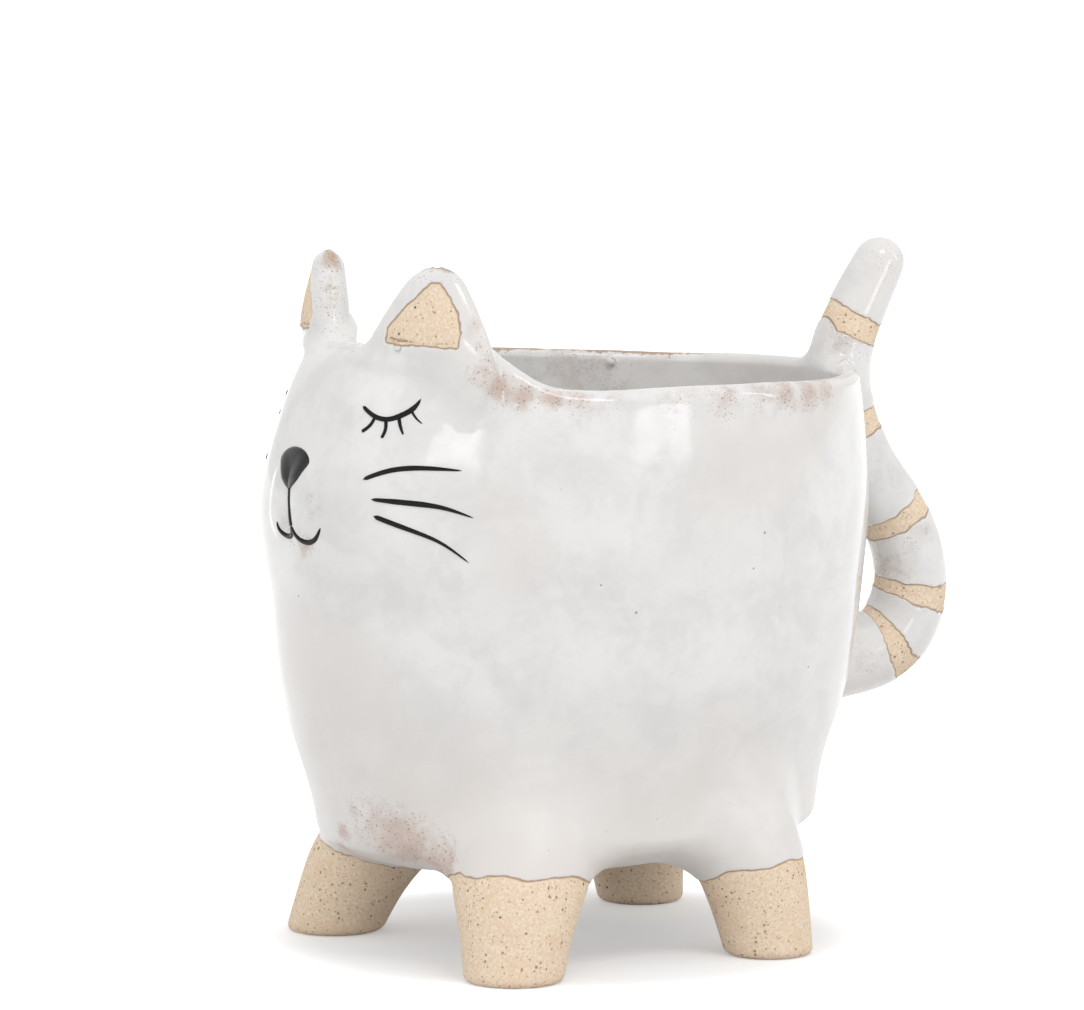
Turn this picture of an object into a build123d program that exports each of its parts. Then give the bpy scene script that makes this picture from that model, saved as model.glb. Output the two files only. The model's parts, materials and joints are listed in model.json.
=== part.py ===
from build123d import *
from math import atan2, cos, degrees, hypot, radians, sin
import os

# A cat shaped planter: an oval pot on four splayed feet, with a face, two ears and a striped tail.
# The cat looks along -Y, its left side is +X, and it stands on the plane Z = 0.
# Lengths are in millimetres. Names that end in share or shares are parts of the sizes they follow.

# The pot
pot_length = 149.7          # outside, from the face to the back, at its widest level
pot_width = 114.2           # outside, from side to side, at its widest level
rim_height = 136.0          # top of the lip above the ground
belly_height = 22.5         # underside of the pot above the ground
floor_thickness = 7.0
wall = 6.2                  # back and sides
brow_wall = 11.2            # front wall at the level of the rim
belly_edge_radius = 12.0    # rounding under the pot
floor_corner_radius = 8.0   # rounding where the floor meets the wall inside
lip_radius = 2.4            # rounding of the lip, inside and outside
drain_diameter = 12.0       # hole through the floor

# Outside of the pot: height between belly and rim, length, and shift towards the tail
pot_section_shares = [
    (0.00, 0.812, -0.004),
    (0.21, 0.870, 0.000),
    (0.37, 0.938, 0.006),
    (0.55, 0.972, 0.010),
    (0.72, 1.000, 0.008),
    (0.88, 0.978, 0.016),
    (1.00, 0.940, 0.025),
    (1.12, 0.875, 0.040),
    (1.26, 0.795, 0.058),
]
# The front wall thickens towards the brow: height between belly and rim, and how much of it is reached
brow_shares = [(0.00, 0.0), (0.38, 0.05), (0.55, 0.15), (0.72, 0.45), (0.88, 0.85), (1.00, 1.0), (1.26, 1.0)]

# Rim seen from the side: it dips a little to the tail and sweeps up to the brow between the ears
rim_fall = 1.0              # how much lower the lip is at the tail
brow_rise = 8.3             # brow between the ears above the lip
sweep_crest_rise = 10.8     # highest point of the sweep, behind the ears
sweep_start_share = 0.27    # where the sweep starts, in front of the middle
sweep_bend_share = 0.42
sweep_crest_share = 0.57
brow_start_share = 0.73
sweep_bend_rise_share = 0.25

# Ears
ear_rise = 28.7             # ear tip above the lip
ear_root_depth = 14.0       # how far an ear's root starts below the brow
ear_width = 38.0
ear_thickness = 13.0
ear_spacing_share = 0.4466  # between the middles of the two ears, of the pot's width
ear_setback_share = 0.6814  # from the pot's middle to the ears, of half the pot's length
ear_tip_lean = 3.0          # tips stand this much further back than the roots
ear_turn = 25.5             # degrees that each ear looks outwards
ear_tip_radius = 1.0
ear_joint_rise = 1.6        # the ears are joined to the brow this much above it
# Ear section: height from root to tip, width and thickness
ear_section_shares = [
    (0.00, 0.40, 0.40),
    (0.24, 0.74, 0.74),
    (0.42, 0.94, 0.95),
    (0.57, 0.85, 1.04),
    (0.71, 0.69, 0.98),
    (0.84, 0.53, 0.86),
    (0.94, 0.33, 0.66),
    (1.00, 0.15, 0.36),
]
panel_depth = 1.2           # the bare clay panel lies in a pocket this deep
panel_seat = 0.1            # between the panel and the bottom of its pocket
panel_width = 24.5
panel_height = 17.0
panel_corner_radius = 2.0
panel_base_rise = 0.6       # panel above the ear's joint

# Feet
sole_radius = 11.6          # front soles
rear_sole_share = 0.90      # rear soles are a little smaller
sole_edge_radius = 1.6
foot_lean = 22.0            # a leg's top lies about this much nearer to the pot's middle than its sole
foot_top_height = 42.0      # where a leg ends inside the pot
glaze_line_height = 20.0    # glaze ends here on the leg's axis
glaze_line_tilt = 14.0      # degrees, higher on the outer side
glaze_line_margin = 2.5     # room round a leg where it is parted from the pot
# Leg section: height from sole to top, girth against the sole, and how much of the lean is reached
foot_section_shares = [
    (0.00, 1.00, 0.00),
    (0.24, 1.12, 0.16),
    (0.48, 1.32, 0.35),
    (0.72, 1.50, 0.60),
    (1.00, 1.40, 1.00),
]
# Middle of each sole, across and along, as shares of half the pot's width and length, and its lean
foot_place_shares = {
    "front_left": (0.80, -0.52, 0.95),
    "front_right": (-0.62, -0.585, 1.20),
    "rear_left": (0.75, 0.417, 0.80),
    "rear_right": (-0.64, 0.554, 0.95),
}

# Tail
tail_reach = 20.4           # middle of the tail behind the pot at its furthest
tail_rise = 23.1            # middle of the rounded tip above the lip
tail_root_radius = 9.4
tip_flat = 0.6              # radius of the small flat on top of the tail's dome
tail_joint_gap = 1.2        # the tail is joined to the pot this far behind it
tail_stub_rise = 2.2        # and this far above the lip
# Middle line: distance behind the pot as a share of the reach, height as a share of the tip's height
tail_route_shares = [
    (-0.48, 0.383),
    (0.17, 0.391),
    (0.66, 0.416),
    (1.00, 0.492),
    (0.76, 0.605),
    (0.37, 0.674),
    (0.11, 0.741),
    (-0.02, 0.840),
    (0.17, 0.911),
    (0.52, 1.000),
]
tail_girth_shares = [(0.0, 1.0), (0.17, 0.97), (0.33, 0.93), (0.5, 0.87), (0.67, 0.83), (0.83, 0.78), (1.0, 0.62)]
tail_section_count = 31
band_width = 5.3
band_depth = 0.9            # the bands lie in grooves this deep
band_seat = 0.1             # between a band and the bottom of its groove
band_place_shares = [0.196, 0.291, 0.442, 0.658, 0.879]

# Painted face: raised enamel
enamel_thickness = 0.7
enamel_seat = 0.15          # between the enamel's back and the curve of the pot
nose_drop = 14.6            # top of the nose below the lip
nose_width = 14.6
nose_height = 9.6
nose_side_share = 0.42      # the nose is widest this far below its top
nose_corner_radius = 1.5
mouth_stem_length = 8.8
mouth_width = 21.0
mouth_drop = 3.7            # how far the two curls hang below the stem
mouth_tip_rise = 0.6
mouth_stroke = 1.1
eye_turn = 23.2             # degrees from the front to the side
eye_drop = 6.4              # lowest point of the closed lid below the lip
eye_width = 14.0
eye_stroke = 1.3
lash_stroke = 0.8
whisker_turn = 33.0         # degrees from the front to the side
whisker_drop = 17.5         # tip of the upper whisker below the lip
whisker_length = 23.1
whisker_stroke = 1.2
fine_share = 0.45           # a stroke's fine end against its thickest place
# Closed lid and its lashes as shares of the eye's width, across and up from the lid's lowest point
lid_shares = [(-0.54, 0.186), (0.0, 0.0), (0.46, 0.343)]
lash_shares = [
    [(-0.27, 0.01), (-0.34, -0.14), (-0.46, -0.21)],
    [(-0.06, -0.01), (-0.03, -0.15), (-0.07, -0.29)],
    [(0.16, 0.05), (0.21, -0.11), (0.28, -0.23)],
    [(0.35, 0.20), (0.44, 0.06), (0.55, -0.04)],
]
# Three whiskers from root to tip as shares of a whisker's length, from the middle of the cheek
whisker_shares = [
    [(-0.70, -0.12), (-0.22, 0.02), (0.30, 0.00)],
    [(-0.59, -0.31), (-0.08, -0.335), (0.44, -0.46)],
    [(-0.555, -0.47), (-0.08, -0.625), (0.385, -0.913)],
]

overrun = 4.0               # cutters run past what they cut
corner_step_shares = (0.0, 0.3, 0.65, 1.0)

pot_rise = rim_height - belly_height
half_length = pot_length / 2
half_width = pot_width / 2
width_ratio = pot_width / pot_length
floor_level = belly_height + floor_thickness
brow_level = rim_height + brow_rise
ear_joint_level = brow_level + ear_joint_rise
tip_level = rim_height + ear_rise
ear_side = half_width * ear_spacing_share
ear_setback = half_length * ear_setback_share
nose_top = rim_height - nose_drop
eye_level = rim_height - eye_drop
whisker_level = rim_height - whisker_drop
length_shares = [(level, length) for level, length, shift in pot_section_shares]
shift_shares = [(level, shift) for level, length, shift in pot_section_shares]
pot_back = max(half_length * length + pot_length * shift for level, length, shift in pot_section_shares)
tail_joint = pot_back + tail_joint_gap
tail_tip_level = rim_height + tail_rise


def table_value(table, place):
    """Read a table of shares at a place between its rows, in straight steps."""
    for low, high in zip(table, table[1:]):
        if place <= high[0]:
            step = (place - low[0]) / (high[0] - low[0])
            return low[1] + step * (high[1] - low[1])
    return table[-1][1]


def rounded_base(radius):
    """Steps up and in along a quarter circle, for the edge under a form."""
    angles = [radians(90 * share) for share in corner_step_shares]
    return [(radius * (1 - cos(angle)), radius * (1 - sin(angle))) for angle in angles]


def section(level, thinning, front_thinning=0):
    """Oval across the pot at a height, inside its surface by the thinning, and more at the front."""
    share = (level - belly_height) / pot_rise
    length = half_length * table_value(length_shares, share)
    middle = pot_length * table_value(shift_shares, share) + front_thinning / 2
    across = length * width_ratio - thinning
    along = length - thinning - front_thinning / 2
    return Pos(0, middle, level) * Ellipse(across, along)


def pot_form(growth=0):
    """Outside of the pot as a solid oval form, evenly grown where the enamel needs it."""
    sections = [section(belly_height + up, inset - growth) for up, inset in rounded_base(belly_edge_radius)]
    for share, length, shift in pot_section_shares[1:]:
        sections.append(section(belly_height + pot_rise * share, -growth))
    return loft(sections)


def cavity_form():
    """Inside of the pot, with a rounded corner round the floor."""
    levels = [(floor_level + up, inset) for up, inset in rounded_base(floor_corner_radius)]
    levels += [(belly_height + pot_rise * row[0], 0) for row in pot_section_shares[1:]]
    sections = []
    for level, inset in levels:
        brow = (brow_wall - wall) * table_value(brow_shares, (level - belly_height) / pot_rise)
        sections.append(section(level, wall + inset, brow))
    return loft(sections)


def rim_cutter():
    """Everything above the rim, whose line is drawn from the side."""
    top = belly_height + pot_rise * pot_section_shares[-1][0] + overrun
    back = (pot_length, rim_height - rim_fall)
    start = (-half_length * sweep_start_share, rim_height)
    bend = (-half_length * sweep_bend_share, rim_height + sweep_bend_rise_share * sweep_crest_rise)
    crest = (-half_length * sweep_crest_share, rim_height + sweep_crest_rise)
    brow = (-half_length * brow_start_share, brow_level)
    front = (-pot_length, brow_level)
    outline = make_face([
        Line(back, start),
        Spline([start, bend, crest, brow], tangents=[(-1, 0), (-1, 0)]),
        Line(brow, front),
        Line(front, (-pot_length, top)),
        Line((-pot_length, top), (pot_length, top)),
        Line((pot_length, top), back),
    ])
    return extrude(Plane.YZ * outline, pot_width, both=True)


def foot(name):
    """One leg from its sole to inside the pot, leaning in, with a rounded sole edge."""
    across, along, lean_share = foot_place_shares[name]
    lean = foot_lean * lean_share
    sole = Vector(half_width * across, half_length * along)
    inward = Vector(-sole.X, -sole.Y) / hypot(sole.X, sole.Y)
    girth = sole_radius * (rear_sole_share if along > 0 else 1)
    sections = []
    for level, share, reached in foot_section_shares:
        middle = sole + inward * lean * reached
        sections.append(Pos(middle.X, middle.Y, foot_top_height * level) * Circle(girth * share))
    leg = loft(sections)
    leg = fillet(leg.edges().sort_by(Axis.Z)[0], sole_edge_radius)
    line_share = glaze_line_height / foot_top_height
    middle = sole + inward * lean * table_value([(row[0], row[2]) for row in foot_section_shares], line_share)
    turn = degrees(atan2(-inward.X, inward.Y))
    reach = girth * table_value([(row[0], row[1]) for row in foot_section_shares], line_share) + glaze_line_margin
    glaze_line = Pos(middle.X, middle.Y, glaze_line_height) * Rot(0, 0, turn) * Rot(-glaze_line_tilt, 0, 0)
    return leg, glaze_line * Pos(0, 0, -foot_top_height / 2) * Cylinder(reach, foot_top_height)


def ear(side):
    """One ear, a flat cone that leans back, and its place for what is set into it."""
    root_level = brow_level - ear_root_depth
    height = tip_level - root_level
    sections = []
    for level, wide, thick in ear_section_shares:
        place = Pos(side * ear_side, -ear_setback + ear_tip_lean * level, root_level + height * level)
        section = Ellipse(ear_width / 2 * wide, ear_thickness / 2 * thick)
        sections.append(place * Rot(0, 0, side * ear_turn) * section)
    form = loft(sections)
    return fillet(form.edges().sort_by(Axis.Z)[-1], ear_tip_radius)


def ear_front(side):
    """Upright plane through an ear's middle that looks the way the ear does."""
    angle = radians(side * ear_turn)
    return Plane(
        origin=(side * ear_side, -ear_setback, ear_joint_level),
        x_dir=(cos(angle), sin(angle), 0),
        z_dir=(sin(angle), -cos(angle), 0),
    )


def panel_space(side, depth):
    """The bare clay panel's space in the front of an ear, down to a depth below its curve."""
    base = panel_base_rise
    corners = [(-panel_width / 2, base), (panel_width / 2, base), (0, base + panel_height)]
    outline = fillet(make_face(Polyline(*corners, close=True)).vertices(), panel_corner_radius)
    front = ear_front(side)
    return extrude(front * outline, ear_thickness) - Location(front.z_dir * -depth) * ear(side)


def tail_line():
    """Middle line of the tail, in the plane that divides the cat's left from its right."""
    points = [(0, pot_back + tail_reach * out, tail_tip_level * up) for out, up in tail_route_shares]
    return Spline(points)


def tail_plane(line, place):
    """Plane across the tail at a place along it."""
    return Plane(origin=line @ place, x_dir=(1, 0, 0), z_dir=line % place)


def tail_form(line, thinning=0):
    """The tail as one round tapering coil with a domed tip."""
    sections = []
    for number in range(tail_section_count):
        place = number / (tail_section_count - 1)
        radius = tail_root_radius * table_value(tail_girth_shares, place) - thinning
        sections.append(tail_plane(line, place) * Circle(radius))
    for up, inset in reversed(rounded_base(radius)[:-1]):
        dome = tail_plane(line, 1) * Pos(0, 0, radius - up)
        sections.append(dome * Circle(radius - inset + tip_flat))
    return loft(sections)


def band_slab(line, place):
    """Disc across the tail that holds one bare clay band."""
    return tail_plane(line, place) * Cylinder(2 * tail_root_radius, band_width)


def stroke(points, start_width, middle_width, end_width):
    """A brush stroke along an arc through three points."""
    arc = ThreePointArc(*(Vector(*point) for point in points))
    sides = []
    for sign in (1, -1):
        edge_points = []
        for place, width in ((0, start_width), (0.5, middle_width), (1, end_width)):
            along = arc % place
            edge_points.append(arc @ place + Vector(-along.Y, along.X) * (sign * width / 2))
        sides.append(edge_points)
    left, right = sides
    return make_face([
        ThreePointArc(*left),
        Line(left[2], right[2]),
        ThreePointArc(*right),
        Line(right[0], left[0]),
    ])


def face_plane(turn, level=0):
    """Upright plane through the pot's middle, whose normal looks out at an angle from the front."""
    angle = radians(turn)
    return Plane(origin=(0, 0, level), x_dir=(cos(angle), sin(angle), 0), z_dir=(sin(angle), -cos(angle), 0))


def enamel(plane, shapes):
    """Raise flat shapes as a thin layer on the outside of the pot."""
    outline = shapes[0]
    for shape in shapes[1:]:
        outline = outline + shape
    marks = [extrude(plane * face, pot_length) for face in outline.faces()]
    front = pot_form(enamel_seat + enamel_thickness)
    back = pot_form(enamel_seat)
    return Compound([solid for mark in marks for solid in ((mark & front) - back).solids()])


def nose():
    """Triangle with a domed top and its point down."""
    half = nose_width / 2
    side = -nose_height * nose_side_share
    shape = make_face([
        ThreePointArc((-half, side), (0, 0), (half, side)),
        Line((half, side), (0, -nose_height)),
        Line((0, -nose_height), (-half, side)),
    ])
    shape = fillet(shape.vertices(), nose_corner_radius)
    return enamel(face_plane(0, nose_top), [shape])


def mouth():
    """A stem under the nose that parts into two curls."""
    fine = mouth_stroke * fine_share
    curl = mouth_width / 2
    stem = [(-fine / 2, mouth_stem_length), (fine / 2, mouth_stem_length), (mouth_stroke / 2, 0), (-mouth_stroke / 2, 0)]
    shapes = [make_face(Polyline(*stem, close=True))]
    for side in (-1, 1):
        points = [(0, 0), (side * curl / 2, -mouth_drop), (side * curl, mouth_tip_rise)]
        shapes.append(stroke(points, mouth_stroke, mouth_stroke, fine))
    return enamel(face_plane(0, nose_top - nose_height - mouth_stem_length), shapes)


def scaled(points, size, side):
    """Turn shares into places, mirrored for the cat's right side."""
    return [(side * size * across, size * up) for across, up in points]


def eye(side):
    """A closed lid with four lashes, clear of the ear's root."""
    shapes = [stroke(scaled(lid_shares, eye_width, side), lash_stroke, eye_stroke, eye_stroke * fine_share)]
    for points in lash_shares:
        shapes.append(stroke(scaled(points, eye_width, side), lash_stroke, lash_stroke, lash_stroke * fine_share))
    marks = enamel(face_plane(side * eye_turn, eye_level), shapes)
    return Compound([solid for mark in marks.solids() for solid in (mark - ear(side)).solids()])


def whiskers(side):
    """Three long strokes on one cheek."""
    shapes = []
    for points in whisker_shares:
        places = scaled(points, whisker_length, side)
        shapes.append(stroke(places, whisker_stroke * fine_share, whisker_stroke, whisker_stroke * fine_share))
    return enamel(face_plane(side * whisker_turn, whisker_level), shapes)


def space(low, high):
    """Block between two corners."""
    sizes = [end - start for start, end in zip(low, high)]
    return Pos(*low) * Box(*sizes, align=(Align.MIN, Align.MIN, Align.MIN))


def pot_with_feet():
    """The thrown pot with its legs joined on, and what lies below each glaze line."""
    form = pot_form()
    below = {}
    for name in foot_place_shares:
        leg, below[name] = foot(name)
        form = form + leg
    form = form - cavity_form() - rim_cutter()
    lip = [edge for edge in form.edges() if edge.bounding_box().min.Z > rim_height - rim_fall - lip_radius]
    form = fillet(lip, lip_radius)
    drain = Pos(0, 0, belly_height + floor_thickness / 2) * Cylinder(drain_diameter / 2, 2 * floor_thickness)
    return form - drain, below


def build():
    """Make every piece, as a table of names and solids."""
    parts = {}
    form, below = pot_with_feet()
    for name, block in below.items():
        parts["leg_" + name] = form & block
        form = form - block

    line = tail_line()
    form = form + ear(1) + ear(-1) + tail_form(line)
    top = max(tip_level, tail_tip_level + tail_root_radius) + overrun
    for side, hand in ((1, "left"), (-1, "right")):
        ends = sorted((0, side * pot_width))
        block = space((ends[0], -pot_length, ear_joint_level), (ends[1], 0, top))
        whole = form & block
        parts["ear_panel_" + hand] = whole & panel_space(side, panel_depth)
        parts["ear_" + hand] = whole - panel_space(side, panel_depth + panel_seat)
        form = form - block

    behind = space((-half_width, tail_joint, 0), (half_width, pot_length, top))
    behind = behind + space((-half_width, 0, rim_height + tail_stub_rise), (half_width, pot_length, top))
    tail = form & behind
    parts["pot_body"] = form - behind
    for number, place in enumerate(band_place_shares, start=1):
        slab = band_slab(line, place)
        parts["tail_band_" + str(number)] = (tail & slab) - tail_form(line, band_depth)
        tail = tail - (slab - tail_form(line, band_depth + band_seat))
    parts["tail"] = tail

    parts["nose"] = nose()
    parts["mouth"] = mouth()
    for side, hand in ((1, "left"), (-1, "right")):
        parts["eye_" + hand] = eye(side)
        parts["whiskers_" + hand] = whiskers(side)
    return parts


def main():
    """Write each piece, with the origin on the ground under the middle of the whole."""
    os.makedirs("parts", exist_ok=True)
    parts = build()
    box = Compound(list(parts.values())).bounding_box()
    shift = Pos(-box.center().X, -box.center().Y, -box.min.Z)
    for name, piece in parts.items():
        export_step(shift * piece, "parts/" + name + ".step")
    print("origin shift", shift.position)
    print("size", box.size)


main()
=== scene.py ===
"""A cat shaped planter: one glazed skin over the thrown pot, with bare clay feet, bands and ear panels.

Shapes are worked out in millimetres round the middle of the pot, on the ground, and written in metres.
A shape is a field: a distance to its surface, negative inside the clay.
"""

import json
import math

import bpy
import numpy as np
import openvdb
from bpy.props import FloatProperty, FloatVectorProperty, PointerProperty
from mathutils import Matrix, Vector


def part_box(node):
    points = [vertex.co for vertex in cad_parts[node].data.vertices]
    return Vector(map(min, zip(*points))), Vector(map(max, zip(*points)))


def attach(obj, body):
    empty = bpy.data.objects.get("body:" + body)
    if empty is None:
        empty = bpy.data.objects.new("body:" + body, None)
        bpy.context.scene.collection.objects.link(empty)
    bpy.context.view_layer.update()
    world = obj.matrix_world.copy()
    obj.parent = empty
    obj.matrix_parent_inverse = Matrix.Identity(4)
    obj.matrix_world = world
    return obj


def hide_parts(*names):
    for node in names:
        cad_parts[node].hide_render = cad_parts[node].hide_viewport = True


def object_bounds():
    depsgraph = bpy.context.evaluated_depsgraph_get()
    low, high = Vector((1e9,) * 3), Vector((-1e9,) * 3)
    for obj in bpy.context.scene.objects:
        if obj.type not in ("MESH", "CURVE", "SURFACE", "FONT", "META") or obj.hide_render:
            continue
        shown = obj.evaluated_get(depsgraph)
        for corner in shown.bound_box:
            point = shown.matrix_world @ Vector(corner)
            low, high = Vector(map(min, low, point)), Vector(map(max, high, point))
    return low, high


bl_info = {
    "name": "Cat Planter",
    "version": (1, 0, 0),
    "blender": (4, 5, 0),
    "location": "View3D > Sidebar > Planter",
    "description": "Glazed skin, bare clay, painted face and a plain stage for a cat shaped planter",
    "category": "Add Mesh",
}

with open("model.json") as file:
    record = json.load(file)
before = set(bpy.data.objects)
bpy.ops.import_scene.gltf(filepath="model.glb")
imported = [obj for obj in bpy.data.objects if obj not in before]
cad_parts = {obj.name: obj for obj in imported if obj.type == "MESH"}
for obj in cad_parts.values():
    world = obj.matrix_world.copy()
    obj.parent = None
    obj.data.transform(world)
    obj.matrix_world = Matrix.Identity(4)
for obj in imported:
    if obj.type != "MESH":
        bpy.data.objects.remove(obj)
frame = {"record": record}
CAD_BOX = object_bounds()
MM = 0.001
SEED = 7

OPENINGS = {row["name"]: np.array(row["box_m"]) / MM for row in frame["record"]["physics"]["openings"]}
MOUNTS = {row["name"]: np.array(row["pos_m"]) / MM for row in frame["record"]["mounts"]}
MIDDLE = OPENINGS["drain_hole"].mean(axis=0) * (1, 1, 0)
POT_LOW, POT_HIGH = (np.array(corner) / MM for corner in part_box("pot_body"))
EAR_HIGH = np.array(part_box("ear_left")[1]) / MM

# The pot, as in its solids
HALF_WIDTH = (POT_HIGH[0] - POT_LOW[0]) / 2
WIDTH_RATIO = 0.763
HALF_LENGTH = HALF_WIDTH / WIDTH_RATIO
BELLY = 22.0
RIM = 136.0
RISE = 113.5
WALL = 6.2
# How far back the oval's middle lies on the whole, for the wall's direction
WALL_SHIFT = 2.0
BROW_WALL = 11.2
FLOOR = 29.5
FLOOR_CORNER = 8.0
BELLY_CREASE = 28.2
CREASE_RADIUS = 1.6
BELLY_EDGE = 5.0
BELLY_SLOPE = math.radians(38)
# The far side's rim stands higher: by how much, and where that starts and is full, across and in y
FAR_RIM_RISE = 1.5
FAR_RIM_PLACES = ((5, -40), (45, 0), (-40, -24))
# The far side's brow dips behind the ear: by how much, where across, and its middle and width in y
FAR_BROW_DIP = 4.0
BROW_DIP_SIDE = (-18, -36)
BROW_DIP_BACK = -42
BROW_DIP_WIDTH = 6.5
# Where the brow starts and is full in y
BROW_FRONT = (-25, -50)
# Keeps the field of the sloping rim close to a true distance, as the other tapers do
RIM_TAPER = 0.96
CAVITY_EDGE = 0.6
LIP_RADIUS = 2.6
BROW_LIP_RADIUS = 4.2
DRAIN_RADIUS = 6.0
DRAIN_EDGE = 1.2
# Height between belly and rim, half length, and shift towards the tail
SECTION_SHARES = [
    (-0.10, 0.800, -0.020), (0.00, 0.812, -0.004), (0.21, 0.870, 0.000), (0.37, 0.938, 0.006),
    (0.55, 0.972, 0.010), (0.72, 1.000, 0.008), (0.88, 0.978, 0.016), (1.00, 0.940, 0.025),
    (1.12, 0.875, 0.040), (1.26, 0.795, 0.058),
]
# Height between belly and rim, and how much of the thick brow is reached
BROW_SHARES = [(0.0, 0.0), (0.38, 0.05), (0.55, 0.15), (0.72, 0.45), (0.88, 0.85), (1.0, 1.0), (1.26, 1.0)]
# Rim seen from the side: distance behind the middle, and height above the lip
RIM_LINE = [
    (-90, 8.3), (-60, 8.3), (-54.6, 8.3), (-48.5, 9.7), (-42.7, 10.6), (-37.0, 7.4), (-31.4, 2.8),
    (-26.0, 0.7), (-20.2, 0.0), (-5, -0.1), (40, -0.6), (110, -1.2),
]

# Ears
EAR_SIDE = 26.6
EAR_BACK = 51.4
EAR_LEAN = 2.2
EAR_SPLAY = 2.0
EAR_ROOT = 130.3
EAR_TURNS = {1: math.radians(25.5), -1: -math.radians(20.5)}
EAR_TIP_RADIUS = 4.1
EAR_BLEND = 4.5
EAR_FLUSH = 0.7
EAR_FOOT = 4
EAR_FOOT_EDGE = 2.0
EAR_TAPER = 0.88
# Height above the ground, half width and half thickness
EAR_LINE = [
    (126.0, 13.0, 2.5), (130.3, 16.0, 3.4), (138.0, 19.2, 4.8), (143.5, 18.3, 6.0), (149.0, 15.7, 6.2),
    (154.2, 12.5, 5.4), (159.0, 9.3, 4.4), (162.3, 6.7, 3.7), (168.0, 2.8, 2.8),
]
# Ear panel's corners, anticlockwise: across the ear away from the head's middle, and above the ground
PANEL_OUTLINE = [
    (-8.7, 147.3), (-4.0, 146.9), (2.0, 147.2), (6.5, 146.8), (10.4, 147.0), (10.4, 149.6),
    (8.6, 153.6), (6.0, 157.2), (3.0, 160.4), (1.0, 160.4), (-4.4, 155.0), (-9.1, 150.0),
]
PANEL_CORNER = 0.5
PANEL_DEPTH = 1.0

# Legs
LEG_TOP = 42.0
LEG_LEAN = 22.0
LEG_DOME = 6.0
LEG_TAPER = 0.93
SOLE_RADIUS = 11.6
REAR_SOLE_SHARE = 0.90
SOLE_EDGE = 1.7
# Height as a share of the leg, girth as a share of the sole's, and how much of the lean is reached
LEG_SHARES = [
    (0.0, 1.0, 0.0), (0.24, 1.12, 0.16), (0.48, 1.31, 0.39), (0.72, 1.44, 0.69), (1.0, 1.32, 0.95),
    (1.3, 1.05, 1.0),
]
HAUNCH_BLEND = 9.0
HAUNCH_FLUSH = 0.50
# Lean share, glaze line's height on the leg's axis, and its tilt in degrees, higher on the outer side
LEGS = {
    "front_left": (0.95, 22.0, 13.0),
    "front_right": (1.20, 20.0, 14.0),
    "rear_left": (0.63, 20.0, 14.0),
    "rear_right": (0.95, 20.0, 14.0),
}
LEG_MARGIN = 4.0

# Tail: middle line behind the pot's middle and above the ground, and its radius along it
TAIL_LINE = [
    (66.2, 60.9), (79.6, 62.2), (89.6, 66.1), (96.1, 78.3), (91.5, 96.2), (83.6, 107.2), (78.3, 117.9),
    (75.6, 133.7), (79.5, 145.0), (86.9, 158.1),
]
TAIL_RADII = [9.38, 9.12, 8.74, 8.21, 7.85, 7.55, 6.55]
TAIL_BLEND = 3.2
TAIL_TRIM = 2.0
TAIL_SAMPLES = 1500
# The tail lies within this half width, behind this place and above this height; elsewhere it counts as far
TAIL_NEAR = (26, 44, 40)
TAIL_FAR = 30.0
TAIL_REACH = 12
TAIL_BATCH = 20000
# Place along the tail, width, and tilt of each bare band
BANDS = [(0.197, 5.5, -3.6), (0.312, 5.3, -2.8), (0.461, 4.9, 0.0), (0.672, 6.3, 0.0), (0.869, 5.9, -1.6)]
BAND_DEPTH = 0.8
POCKET_CLEARANCE = 0.1

# Full and hollow places of the pressed wall: middle, spread level and up, and how far they stand out
SWELLS = [
    (24.0, -68.0, 102.0, 14.0, 34.0, 0.8), (-24.0, -68.0, 100.0, 15.0, 38.0, 2.3),
    (-18.0, -64.0, 56.0, 18.0, 18.0, 1.1), (20.0, 62.0, 52.0, 24.0, 18.0, 1.3),
    (24.0, 58.0, 30.0, 14.0, 8.0, 0.8), (58.0, 1.0, 106.0, 34.0, 40.0, -0.6),
]

# Muzzle, pressed in round the mouth
MOUTH_LEVEL = 103.0
PAD_SIDE = 5.2
PAD_LEVEL = 106.6
PAD_SIZE = (6.0, 7.4)
PAD_RISE = 0.70
PAD_TOP_STRETCH = 0.55
PAD_EDGE = (0.55, 1.12)
VALLEY_DEPTH = 0.45
VALLEY_WIDTH = 2.3
VALLEY_LEVELS = (MOUTH_LEVEL - 5, MOUTH_LEVEL + 1, 106, 113)

# Beads of glaze: place and radius
BEAD_BLEND = 0.7
BEADS = [(24.7, -57.9, 146.1, 1.3), (-42.0, 36.0, 132.6, 1.2), (10.5, 70.8, 134.9, 1.3)]
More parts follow.
